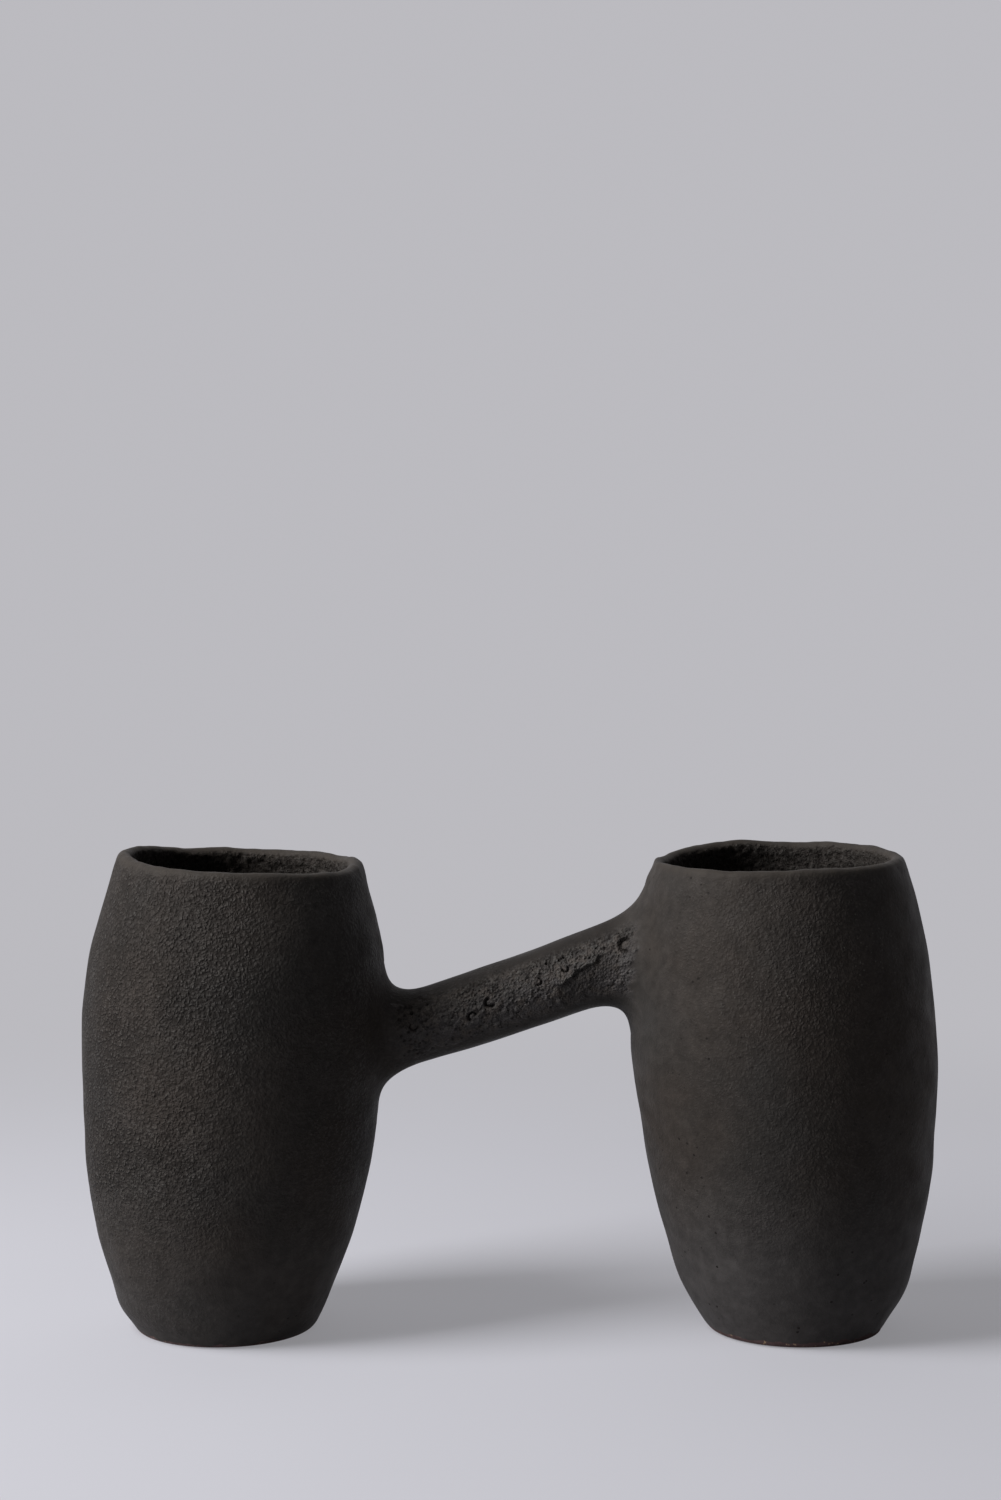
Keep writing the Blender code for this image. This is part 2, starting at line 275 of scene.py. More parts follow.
# Soft unevenness of the skin: the size and the height of each noise
UNEVENNESS = (0.0280, 0.0014)
PEBBLING = (0.0040, 0.0003)
INNER_CRUMBS = (0.0024, 0.0013)
LIP_WOBBLE = (0.0090, 0.0009)
LIP_WOBBLE_DROP = (0.010, 0.002)
EVEN_BRIDGE = 0.5
WEIGHT_LEVELS = 20

# Fired colours, gloss and roughness
WARM_GLAZE = (0.0384, 0.0321, 0.0282, 1.0)
COOL_GLAZE = (0.0358, 0.0325, 0.0302, 1.0)
# Painted highlight on the crests of the leathery hide and the inner grains, a paler and cooler tone
CREST_HIGHLIGHT = (0.076, 0.070, 0.065, 1.0)
# Painted shade in the grooves of the hide and the inner grains, also used for the painted shade on the
# bridge's top
GROOVE_SHADE = (0.014, 0.0115, 0.0100, 1.0)
# Grey of the crumbly glaze, with a painted highlight that is strongest on the tops of the crumbs and along
# the drip's brow
CRUMB_GREY_AND_HIGHLIGHT = (0.086, 0.082, 0.077, 1.0)
CRUST_GLAZE = (0.078, 0.067, 0.060, 1.0)
# Painted shade in pits, pinholes, crater grooves and below the edge of the drip
HOLLOW_SHADE = (0.014, 0.0117, 0.0107, 1.0)
# Paler glaze colour, partly painted bounce light from the floor
PALE_AND_BOUNCE_LIGHT = (0.0680, 0.0628, 0.0622, 1.0)
SPECK_GLAZE = (0.105, 0.097, 0.087, 1.0)
LIP_GLAZE = (0.047, 0.040, 0.034, 1.0)
CLAY = (0.118, 0.078, 0.078, 1.0)
OCHRE = (0.400, 0.280, 0.180, 1.0)
MATT = 0.08
DARK_ROUGHNESS = 0.58
CRUST_ROUGHNESS = 0.52
CREST_POLISH = -0.12
INSIDE_DRYNESS = 0.15
CLAY_ROUGHNESS = 0.88
FOOT_ROUGHNESS = 0.60
GLAZE_LINES = (0.0013, 0.0026)
GLAZE_EDGE = 0.0005

# Bumps of the finishes: their heights, and how strongly the finest one shows
HIDE_HEIGHT = 0.0019
CRUMB_HEIGHT = 0.0022
FROTH_HEIGHT = 0.0006
GRAIN_HEIGHT = 0.0002
DUST_STRENGTH = 0.5
CLAY_STRENGTH = 0.7

# Patterns of the finishes: a noise or cells, and the range that is stretched from least to most
Noise = namedtuple(
    "Noise",
    "scale detail roughness distortion low high least most",
    defaults=(2.0, 0.5, 0.0, 0.0, 1.0, 0.0, 1.0),
)
TONES = Noise(scale=17.0, detail=3.0, low=0.38, high=0.62)
MOTTLE = Noise(scale=190.0, detail=4.0, roughness=0.6, low=0.30, high=0.70, least=0.78, most=1.24)
TANNING = Noise(scale=14.0, low=0.36, high=0.62, least=0.80, most=1.15)
FOLDS = Noise(scale=590.0, roughness=0.55, distortion=0.6)
PIMPLED = Noise(scale=26.0, low=0.42, high=0.60, least=0.30, most=0.65)
GRAINS = Noise(scale=540.0, detail=3.0, roughness=0.7)
RUBBING = Noise(scale=300.0, detail=3.0, low=0.35, high=0.65, least=0.25, most=0.80)
BROWNING = Noise(scale=230.0, detail=3.0, roughness=0.6, low=0.46, high=0.62)
PINHOLE_FIELDS = Noise(scale=45.0, low=0.49, high=0.56)
SPECK_FIELDS = Noise(scale=38.0, low=0.44, high=0.58)
SHEEN = Noise(scale=90.0, detail=3.0, low=0.3, high=0.7, least=-0.08, most=0.10)
DUST = Noise(scale=1900.0)
GLAZE_RAGS = Noise(scale=180.0, detail=3.0, low=0.3, high=0.7, least=-0.0009, most=0.0009)
FLECKS = Noise(scale=700.0, detail=1.0, low=0.66, high=0.72)
CLAY_MOTTLE = Noise(scale=240.0, detail=4.0, low=0.3, high=0.7, least=0.75, most=1.25)
CLAY_DUST = Noise(scale=900.0, detail=3.0, roughness=0.6)
PAPER_MOTTLE = Noise(scale=3.0, low=0.3, high=0.7, least=0.98, most=1.02)
Cells = namedtuple("Cells", "scale stray low high least most", defaults=(0.0, 0.0, 1.0, 0.0, 1.0))
PIMPLES = Cells(scale=660.0, stray=0.0029, low=0.62, high=0.10, least=0.20, most=0.80)
FROTH = Cells(scale=900.0)
PINHOLES = Cells(scale=210.0, low=0.15, high=0.09)
SPECKS = Cells(scale=420.0, low=0.20, high=0.11)
STRAY_SCALE = 0.7
HIDE_CRESTS = (0.52, 0.68)
HIDE_GROOVES = (0.46, 0.34)
INNER_CRESTS = (0.50, 0.66)
INNER_GROOVES = (0.48, 0.36)

# Coats of colour from the lowest up: where each lies, and its share there. The crest coats are painted
# highlight, the groove, pit and pinhole coats painted shade, and the crumb coat a grey with a painted
# highlight.
Coat = namedtuple("Coat", "where share colour")
COATS = (
    Coat(where="crests", share=0.64, colour=CREST_HIGHLIGHT),
    Coat(where="grooves", share=0.60, colour=GROOVE_SHADE),
    Coat(where="rubbed", share=1.00, colour=LIP_GLAZE),
    Coat(where="inner_crests", share=0.65, colour=CREST_HIGHLIGHT),
    Coat(where="inner_grooves", share=0.80, colour=GROOVE_SHADE),
    Coat(where="brown", share=0.80, colour=CRUST_GLAZE),
    Coat(where="crumb", share=0.70, colour=CRUMB_GREY_AND_HIGHLIGHT),
    Coat(where="pit", share=0.85, colour=HOLLOW_SHADE),
    Coat(where="pinholes", share=1.00, colour=HOLLOW_SHADE),
    Coat(where="specks", share=1.00, colour=SPECK_GLAZE),
)

# Stage, light and camera: a pale floor that fades into an even background, a window and a dim one behind
FLOOR_SIZE = 14.0
FADE_LEAST = 0.48
FADE_FROM = 0.24
FADE_TO = 0.85
PAPER = (0.72, 0.72, 0.79, 1.0)
PAPER_BOUNCE = (0.36, 0.36, 0.375, 1.0)
PAPER_ROUGHNESS = 0.9
PAPER_GLOSS = 0.1
BACKGROUND = (0.50, 0.495, 0.525, 1.0)
FILL = 0.018
FILL_COLOUR = (1.0, 1.0, 1.0, 1.0)
WINDOW_PLACE = (-1.41, -0.54, 1.18)
WINDOW_SIZE = (0.75, 1.9)
WINDOW_POWER = 52.5
BACK_PLACE = (-0.11, 1.26, 1.90)
BACK_SIZE = (3.0, 2.0)
BACK_POWER = 7.6
LIGHT_AIM = Vector((0.0, 0.0, 0.10))
CAMERA_PLACE = (-0.0040, -1.36, 0.367)
CAMERA_TILT = math.radians(85.0)
SENSOR_HEIGHT = 36.0
LENS = 77.42


class JarShape:
    """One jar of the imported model, measured: its axis, and its radius outside and inside at any height."""

    def __init__(self, name, side, crest, swells, fillet, tube_radius):
        self.name = name
        self.side = side
        self.crest = crest
        self.swells = swells
        self.fillet = fillet
        self.tube_radius = tube_radius
        base_low, base_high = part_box(f"{name}_base")
        wall_low, wall_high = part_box(f"{name}_wall")
        rim_low, rim_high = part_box(f"{name}_rim")
        self.seat_z = wall_low.z
        self.floor_z = base_high.z
        self.rim_z = wall_high.z
        self.top_z = sum(crest) / len(crest)
        self.foot_x = (base_low.x + base_high.x) / 2
        self.slant = ((rim_low.x + rim_high.x) / 2 - self.foot_x) / (self.rim_z - self.seat_z)
        below, above = MEASURE_MARGINS
        self.heights = np.linspace(self.seat_z + below, self.rim_z - above, MEASURES)
        wall = frame["nodes"][f"{name}_wall"]
        outer = [wall.ray_cast((self.axis_x(z), -1.0, z), DEPTH)[1] for z in self.heights]
        inner = [wall.ray_cast((self.axis_x(z), 0.0, z), -DEPTH)[1] for z in self.heights]
        self.outer = [-place.y for place in outer]
        self.inner = [-place.y for place in inner]

    def axis_x(self, z):
        return self.foot_x + self.slant * (z - self.seat_z)

    def radius_at(self, z, radii):
        """Radius at a height; above the measured wall its slope goes on."""
        if z > self.heights[-1]:
            slope = (radii[-1] - radii[-2]) / (self.heights[-1] - self.heights[-2])
            return radii[-1] + slope * (z - self.heights[-1])
        return float(np.interp(z, self.heights, radii))

    def outer_radius(self, z):
        return self.radius_at(z, self.outer)

    def inner_radius(self, z):
        return self.radius_at(z, self.inner)

    def leave(self, offset, radii):
        """Where a line at an offset from the bridge's axis leaves the jar's outer or inner face."""
        within = bridge_at(self.axis_x(BRIDGE_Z))
        beyond = bridge_at(0.0)
        for _ in range(BISECTIONS):
            middle = (within + beyond) / 2
            point = middle + offset
            if math.hypot(point.x - self.axis_x(point.z), point.y) < self.radius_at(point.z, radii):
                within = middle
            else:
                beyond = middle
        return beyond + offset


def tube_middle(x):
    """Height of the tube's axis at x, midway between its top and its bottom."""
    tube = frame["nodes"]["bridge_tube"]
    top = tube.ray_cast((x, 0.0, 1.0), (0.0, 0.0, -1.0))[1]
    bottom = tube.ray_cast((x, 0.0, -1.0), (0.0, 0.0, 1.0))[1]
    return (top.z + bottom.z) / 2


BRIDGE_Z = tube_middle(0.0)
BRIDGE_SLOPE = (tube_middle(TUBE_PROBE) - tube_middle(-TUBE_PROBE)) / (2 * TUBE_PROBE)
BRIDGE_AXIS = Vector((1.0, 0.0, BRIDGE_SLOPE)).normalized()
BRIDGE_UP = BRIDGE_AXIS.cross(DEPTH)


def bridge_at(x):
    """The point of the bridge's axis at x."""
    return Vector((x, 0.0, BRIDGE_Z + BRIDGE_SLOPE * x))


LEFT = JarShape("left", -1, LEFT_CREST, LEFT_SWELLS, LEFT_FILLET, LEFT_TUBE_RADIUS)
RIGHT = JarShape("right", 1, RIGHT_CREST, RIGHT_SWELLS, RIGHT_FILLET, RIGHT_TUBE_RADIUS)


def bridge_distance(point):
    """Distance of a point from the bridge's axis."""
    offset = point - bridge_at(0.0)
    return (offset - BRIDGE_AXIS * offset.dot(BRIDGE_AXIS)).length


def around_bridge(turn):
    """Direction away from the bridge's axis at a turn from its top towards the back."""
    return BRIDGE_UP * math.cos(turn) + DEPTH * math.sin(turn)


def turn_of(point):
    """Turn of a point about the bridge's axis, from its top towards the back."""
    offset = point - bridge_at(0.0)
    return math.atan2(offset.dot(DEPTH), offset.dot(BRIDGE_UP)) % math.tau


def even_rows(start, end, step):
    """Heights after start, up to and including end, about a step apart."""
    count = max(1, round(abs(end - start) / step))
    return [start + (end - start) * i / count for i in range(1, count + 1)]


def jar_profile(jar):
    """Rows of the jar's skin from under its foot, over its lip, to its floor: (radius, height, piece)."""
    base, wall, rim = (f"{jar.name}_{part}" for part in ("base", "wall", "rim"))
    seat_radius = jar.outer_radius(jar.seat_z)
    rows = [(radius, 0.0, base) for radius in UNDERSIDE_RADII]
    rows += [(seat_radius - inset, z, base) for inset, z in FOOT_ROWS]
    rows.append((seat_radius, jar.seat_z, base))

    hole_z = jar.leave(Vector(), jar.outer).z
    half = HOLE_ROW * HOLE_COLUMNS / 2
    heights = even_rows(jar.seat_z, hole_z - half, OUTER_ROW)
    heights += even_rows(hole_z - half, hole_z + half, HOLE_ROW)
    heights += even_rows(hole_z + half, jar.rim_z, OUTER_ROW)
    rows += [(jar.outer_radius(z), z, wall) for z in heights]

    lip_z = jar.top_z - LIP_ROUND
    lip_radius = jar.outer_radius(lip_z) - LIP_ROUND
    middle_z = (jar.rim_z + lip_z) / 2
    rows.append((jar.outer_radius(middle_z), middle_z, rim))
    for degrees in LIP_TURNS:
        turn = math.radians(degrees)
        rows.append((lip_radius + LIP_ROUND * math.cos(turn), lip_z + LIP_ROUND * math.sin(turn), rim))
    joint_z = jar.rim_z - SCARF
    rows.append((jar.inner_radius((lip_z + joint_z) / 2), (lip_z + joint_z) / 2, rim))
    rows.append((jar.inner_radius(joint_z), joint_z, rim))

    port_z = jar.leave(Vector(), jar.inner).z
    half = PORT_ROW * PORT_COLUMNS / 2
    heights = even_rows(joint_z, port_z + half, MOUTH_ROW)
    heights += even_rows(port_z + half, port_z - half, PORT_ROW)
    heights += even_rows(port_z - half, FLOOR_CORNER[0][1] + INNER_ROW, INNER_ROW)
    rows += [(jar.inner_radius(z), z, wall) for z in heights]
    rows += [(jar.inner_radius(z) - inset, z, wall) for inset, z in FLOOR_CORNER]
    rows += [(radius, jar.floor_z, base) for radius in FLOOR_RADII]
    return rows


def ring_gain(columns):
    """How much wider a ring of the cage is than the round one that subdivision makes of it."""
    return 3 / (2 + math.cos(math.tau / columns))


def cage_rows(rows):
    """Moves the rows of a cage out by as much as the subdivision draws them in."""
    places = np.array([row[:2] for row in rows])
    places[1:-1] += (2 * places[1:-1] - places[:-2] - places[2:]) / 6
    places[:, 0] *= ring_gain(COLUMNS)
    return [(radius, z, row[2]) for (radius, z), row in zip(places.tolist(), rows)]


def tag_new_faces(pot, piece):
    """Gives the faces behind the freshly extruded, still selected edges to a piece."""
    skin = bmesh.from_edit_mesh(pot.data)
    for edge in skin.edges:
        if edge.select:
            edge.link_faces[0].material_index = PIECES.index(piece)
    bmesh.update_edit_mesh(pot.data)


def raise_jar(jar, clays):
    """Raises one jar ring by ring from a disc under its foot, up its outside and down its inside."""
    rows = cage_rows(jar_profile(jar))
    radius, z, piece = rows[0]
    bpy.ops.object.select_all(action="DESELECT")
    bpy.ops.mesh.primitive_circle_add(
        vertices=COLUMNS,
        radius=radius,
        fill_type="NGON",
        location=(jar.axis_x(z), 0.0, z),
        rotation=(0.0, 0.0, math.pi / COLUMNS),
    )
    bpy.ops.object.transform_apply(location=True, rotation=True, scale=True)
    pot = bpy.context.active_object
    for clay in clays:
        pot.data.materials.append(clay)
    pot.data.polygons[0].material_index = PIECES.index(piece)
    bpy.ops.object.mode_set(mode="EDIT")
    bpy.ops.mesh.select_mode(type="EDGE")
    bpy.ops.mesh.select_all(action="SELECT")
    for (radius, z, _), (next_radius, next_z, piece) in zip(rows, rows[1:]):
        grow = next_radius / radius
        lean = jar.axis_x(next_z) - jar.axis_x(z)
        bpy.ops.mesh.extrude_edges_indiv()
        tag_new_faces(pot, piece)
        bpy.ops.transform.resize(value=(grow, grow, 1.0), center_override=(jar.axis_x(z), 0.0, z))
        bpy.ops.transform.translate(value=(lean, 0.0, next_z - z))
    bpy.ops.mesh.edge_face_add()
    skin = bmesh.from_edit_mesh(pot.data)
    for face in skin.faces:
        if len(face.verts) == COLUMNS:
            face.material_index = PIECES.index(f"{jar.name}_base")
    bmesh.update_edit_mesh(pot.data)
    open_patch(pot, jar, jar.outer, HOLE_COLUMNS, HOLE_ROW)
    open_patch(pot, jar, jar.inner, PORT_COLUMNS, PORT_ROW)
    bpy.ops.object.mode_set(mode="OBJECT")
    return pot


def open_patch(pot, jar, radii, columns, row):
    """Takes the square patch that faces the other jar out of the outer or inner face of a wall."""
    middle_z = jar.leave(Vector(), radii).z
    widest = math.pi * columns / COLUMNS
    bpy.ops.mesh.select_mode(type="FACE")
    bpy.ops.mesh.select_all(action="DESELECT")
    skin = bmesh.from_edit_mesh(pot.data)
    for face in skin.faces:
        centre = face.calc_center_median()
        across = (centre.x - jar.axis_x(centre.z)) * -jar.side
        turn = math.atan2(centre.y, across)
        from_axis = math.hypot(across, centre.y)
        near = abs(turn) < widest and abs(centre.z - middle_z) < row * columns / 2
        wall_radius = (jar.outer_radius(centre.z) + jar.inner_radius(centre.z)) / 2
        face.select = near and (from_axis > wall_radius) == (radii is jar.outer)
    bmesh.update_edit_mesh(pot.data)
    bpy.ops.mesh.delete(type="FACE")


def between(top_and_bottom, turn):
    """A measure that goes smoothly from its value at the bridge's top to the one at its bottom."""
    top, bottom = top_and_bottom
    return top + (bottom - top) * (1 - math.cos(turn)) / 2


def swollen(point, turn, radius, share, columns):
    """Moves a point of a round ring out by as much as the subdivision draws it in."""
    return point + around_bridge(turn) * radius * share * (ring_gain(columns) - 1)


def fillet_point(jar, turn, share):
    """A point on the hollow curve from the wall, at share 0, to the tube, at share 1."""
    radius = jar.tube_radius
    start = jar.leave(around_bridge(turn) * (radius + between(jar.fillet.on_wall, turn)), jar.outer)
    corner = jar.leave(around_bridge(turn) * radius, jar.outer)
    end = corner - BRIDGE_AXIS * jar.side * between(jar.fillet.on_tube, turn)
    point = start * (1 - share) ** 2 + corner * 2 * share * (1 - share) + end * share ** 2
    return swollen(point, turn, radius, share, 4 * HOLE_COLUMNS)


def tube_point(turn, share):
    """A point on the tube between the ends of its two fillets, from left to right."""
    point = fillet_point(LEFT, turn, 1.0).lerp(fillet_point(RIGHT, turn, 1.0), share)
    return point - BRIDGE_UP * TUBE_SAG * 4 * share * (1 - share)


def port_point(jar, turn, radius, depth):
    """A point in the port at a depth from the jar's inner face."""
    point = jar.leave(around_bridge(turn) * radius, jar.inner) - BRIDGE_AXIS * jar.side * depth
    return swollen(point, turn, radius, 1.0, 4 * PORT_COLUMNS)


def bore_end(jar, turn):
    """A point on the bore where it passes the jar's outer face."""
    point = jar.leave(around_bridge(turn) * BORE_RADIUS, jar.outer)
    return swollen(point, turn, BORE_RADIUS, 1.0, 4 * PORT_COLUMNS)


def select_loop(pot, jar, nearest, farthest):
    """Selects a jar's open edges that lie within a range of distances from the bridge's axis."""
    bpy.ops.mesh.select_mode(type="EDGE")
    bpy.ops.mesh.select_all(action="DESELECT")
    skin = bmesh.from_edit_mesh(pot.data)
    for edge in skin.edges:
        middle = (edge.verts[0].co + edge.verts[1].co) / 2
        if edge.is_boundary and middle.x * jar.side > 0 and nearest < bridge_distance(middle) < farthest:
            edge.select_set(True)
    bmesh.update_edit_mesh(pot.data)


def settle(pot, place):
    """Puts each point of the selected loop where place(turn) says, evenly round the bridge's axis."""
    skin = bmesh.from_edit_mesh(pot.data)
    loop = sorted((vert for vert in skin.verts if vert.select), key=lambda vert: turn_of(vert.co))
    for i, vert in enumerate(loop):
        vert.co = place(math.tau * (i + 0.5) / len(loop))
    bmesh.update_edit_mesh(pot.data)


def extrude_ring(pot, place, piece):
    """Draws the selected loop out to where place(turn) says, as part of a piece."""
    bpy.ops.mesh.extrude_edges_indiv()
    tag_new_faces(pot, piece)
    settle(pot, place)


def weld():
    """Merges the two ends that meet, and leaves everything selected."""
    bpy.ops.mesh.select_all(action="SELECT")
    bpy.ops.mesh.remove_doubles(threshold=WELD)


def span_bridge(pot):
    """Draws the fillets and the tube out of the holes in the walls, and the bore out of the ports."""
    bpy.ops.object.mode_set(mode="EDIT")
    for jar in (RIGHT, LEFT):
        select_loop(pot, jar, *HOLE_DISTANCES)
        settle(pot, lambda turn: fillet_point(jar, turn, 0.0))
        for share in FILLET_SHARES:
            extrude_ring(pot, lambda turn: fillet_point(jar, turn, share), f"{jar.name}_luting_coil")
    for i in range(1, TUBE_RINGS + 1):
        extrude_ring(pot, lambda turn: tube_point(turn, i / TUBE_RINGS), "bridge_tube")
    weld()
    for jar in (RIGHT, LEFT):
        wall = f"{jar.name}_wall"
        select_loop(pot, jar, *PORT_DISTANCES)
        settle(pot, lambda turn: port_point(jar, turn, PORT_RADIUS, 0.0))
        extrude_ring(pot, lambda turn: port_point(jar, turn, BORE_RADIUS, PORT_ROUND), wall)
        extrude_ring(pot, lambda turn: bore_end(jar, turn), wall)
    for i in range(1, BORE_RINGS + 1):
        share = i / BORE_RINGS
        extrude_ring(pot, lambda turn: bore_end(LEFT, turn).lerp(bore_end(RIGHT, turn), share), "bridge_tube")
    weld()
    bpy.ops.mesh.normals_make_consistent(inside=False)
    bpy.ops.object.mode_set(mode="OBJECT")


def only(*objects):
    """Selects these objects alone and makes the first one active."""
    bpy.ops.object.select_all(action="DESELECT")
    for obj in objects:
        obj.select_set(True)
    bpy.context.view_layer.objects.active = objects[0]


def subdivide_skin(pot):
    """Rounds the cage, then cuts the faces of the bridge finer for the crust on it."""
    rounding = pot.modifiers.new("rounding", "SUBSURF")
    rounding.levels = SKIN_LEVELS
    rounding.render_levels = SKIN_LEVELS
    bpy.ops.object.modifier_apply(modifier=rounding.name)
    bpy.ops.object.mode_set(mode="EDIT")
    bpy.ops.mesh.select_mode(type="FACE")
    bpy.ops.mesh.select_all(action="DESELECT")
    skin = bmesh.from_edit_mesh(pot.data)
    bridge_pieces = [PIECES.index(name) for name in BRIDGE_PIECES]
    for face in skin.faces:
        if face.material_index in bridge_pieces and bridge_distance(face.calc_center_median()) > BRIDGE_SKIN:
            face.select_set(True)
    bmesh.update_edit_mesh(pot.data)
    bpy.ops.mesh.subdivide(number_cuts=CRUST_CUTS)
    bpy.ops.object.mode_set(mode="OBJECT")


def ramp(values, start, end):
    """Smooth step from 0 at start to 1 at end, for a whole array."""
    share = np.clip((values - start) / (end - start), 0.0, 1.0)
    return share * share * (3 - 2 * share)


def at_least(least, share):
    """Lifts a share from 0 to 1, so that it runs from a least value to 1."""
    return least + (1 - least) * share


def wrapped(turns):
    """Turns brought to within half a round of 0."""
    return np.angle(np.exp(1j * turns))


def smooth_round(turns, heights):
    """Smooth curve through heights that stand evenly round a circle, at an array of turns."""
    heights = np.array(heights)
    place = turns % math.tau / math.tau * len(heights)
    i = place.astype(int)
    t = place - i
    before, start, end, after = (heights[(i + step) % len(heights)] for step in (-1, 0, 1, 2))
    bend = 2 * before - 5 * start + 4 * end - after + t * (3 * (start - end) + after - before)
    return start + 0.5 * t * (end - before + t * bend)


def read(items, name, width=1, kind=np.float64):
    """A value of every item of a mesh as an array, in rows where it holds several numbers."""
    values = np.empty(len(items) * width, dtype=kind)
    items.foreach_get(name, values)
    return values.reshape(-1, width) if width > 1 else values


class Skin:
    """The points of the pot as arrays, and where each one lies on it."""

    def __init__(self, pot):
        mesh = pot.data
        count = len(mesh.vertices)
        self.mesh = mesh
        self.places = read(mesh.vertices, "co", 3)
        self.normals = read(mesh.vertex_normals, "vector", 3)
        x, y, z = self.places.T.copy()
        self.z = z
        self.on_left = x < 0
        self.jars = ((LEFT, self.on_left), (RIGHT, ~self.on_left))
        self.depth = np.empty(count)
        self.turn = np.empty(count)
        self.below_lip = np.empty(count)
        for jar, own in self.jars:
            across = x[own] - jar.foot_x - jar.slant * (z[own] - jar.seat_z)
            self.depth[own] = np.interp(z[own], jar.heights, jar.outer) - np.hypot(across, y[own])
            self.turn[own] = np.arctan2(y[own], across)
            self.below_lip[own] = jar.top_z - z[own]
        offset = self.places - np.array(bridge_at(0.0))
        self.along = offset @ np.array(BRIDGE_AXIS)
        beside = offset - self.along[:, None] * np.array(BRIDGE_AXIS)
        self.bridge_distance = np.linalg.norm(beside, axis=1)
        self.bridge_turn = np.arctan2(offset @ np.array(DEPTH), offset @ np.array(BRIDGE_UP))
        pieces = read(mesh.polygons, "material_index", kind=np.int32)
        corners = read(mesh.polygons, "loop_total", kind=np.int32)
        points = read(mesh.loops, "vertex_index", kind=np.int32)
        self.piece = np.zeros(count, dtype=np.int32)
        self.piece[points] = np.repeat(pieces, corners)

    def on(self, *names):
        """Which points lie on these pieces."""
        return np.isin(self.piece, [PIECES.index(name) for name in names])

    def move(self, shift):
        self.places += shift
        self.mesh.vertices.foreach_set("co", self.places.ravel())
        self.mesh.update()

    def mark(self, name, values):
        """Keeps a value at every point for the finishes to read."""
        attribute = self.mesh.attributes.new(name, "FLOAT", "POINT")
        attribute.data.foreach_set("value", values.astype(np.float32))


def roughen(pot, name, size, height, weights):
    """Pushes the skin in and out by a soft noise of a size and a height, as strongly as the weights say."""
    group = pot.vertex_groups.new(name=name)
    levels = np.rint(weights * WEIGHT_LEVELS).astype(int)
    for level in range(1, WEIGHT_LEVELS + 1):
        chosen = np.flatnonzero(levels == level)
        if len(chosen):
            group.add(chosen.tolist(), level / WEIGHT_LEVELS, "REPLACE")
    clouds = bpy.data.textures.new(name, "CLOUDS")
    clouds.noise_scale = size
    clouds.noise_depth = 1
    push = pot.modifiers.new(name, "DISPLACE")
    push.texture = clouds
    push.texture_coords = "LOCAL"
    push.strength = height
    push.mid_level = 0.5
    push.vertex_group = name
    bpy.ops.object.modifier_apply(modifier=name)


def press_by_hand(skin):
    """Swells and dents the outside of the jars as their maker's hands did."""
    out = np.zeros(len(skin.z))
    for jar, own in skin.jars:
        for swell in jar.swells:
            around = wrapped(skin.turn - math.radians(swell.turn)) / math.radians(swell.reach)
            up = (skin.z - swell.z) / swell.rise
            out += own * swell.out * np.exp(-around ** 2 - up ** 2)
    out *= ramp(skin.depth, *PRESSED_DEPTH) * ~skin.on("bridge_tube")
    skin.move(np.column_stack((out * np.cos(skin.turn), out * np.sin(skin.turn), np.zeros(len(out)))))


def pinch_lips(skin):
    """Lifts and lowers the lips to their crests."""
    lift = np.zeros(len(skin.z))
    for jar, own in skin.jars:
        lift[own] = smooth_round(skin.turn[own], jar.crest) - jar.top_z
    lift *= ramp(skin.below_lip, LIP_BLEND, 0.0)
    skin.move(np.column_stack((np.zeros(len(lift)), np.zeros(len(lift)), lift)))


def crust_over(skin):
    """How thickly the crust lies on each point of the bridge: most in front, little on top and below."""
    up = np.cos(skin.bridge_turn)
    band = ramp(up, *CRUST_TOP) * ramp(up, *CRUST_BOTTOM)
    side = np.where(np.sin(skin.bridge_turn) < 0, 1.0, CRUST_BEHIND)
    first, full = CRUST_FADE_IN
    start = ramp(skin.along, CRUST_START + first, CRUST_START + full)
    last = CRUST_END - CRUST_SLANT * ramp(up, *CRUST_SLANTED)
    last += sum(length * np.sin(turns * skin.bridge_turn + turns) for length, turns in CRUST_RAGS)
    end = ramp(skin.along - last, *CRUST_FADE_OUT)
    return band * side * start * end * (skin.on(*BRIDGE_PIECES) & (skin.bridge_distance > BRIDGE_SKIN))


def sized(radii, share):
    """A radius at a share of the way from the smallest to the largest."""
    smallest, largest = radii
    return smallest + (largest - smallest) * share


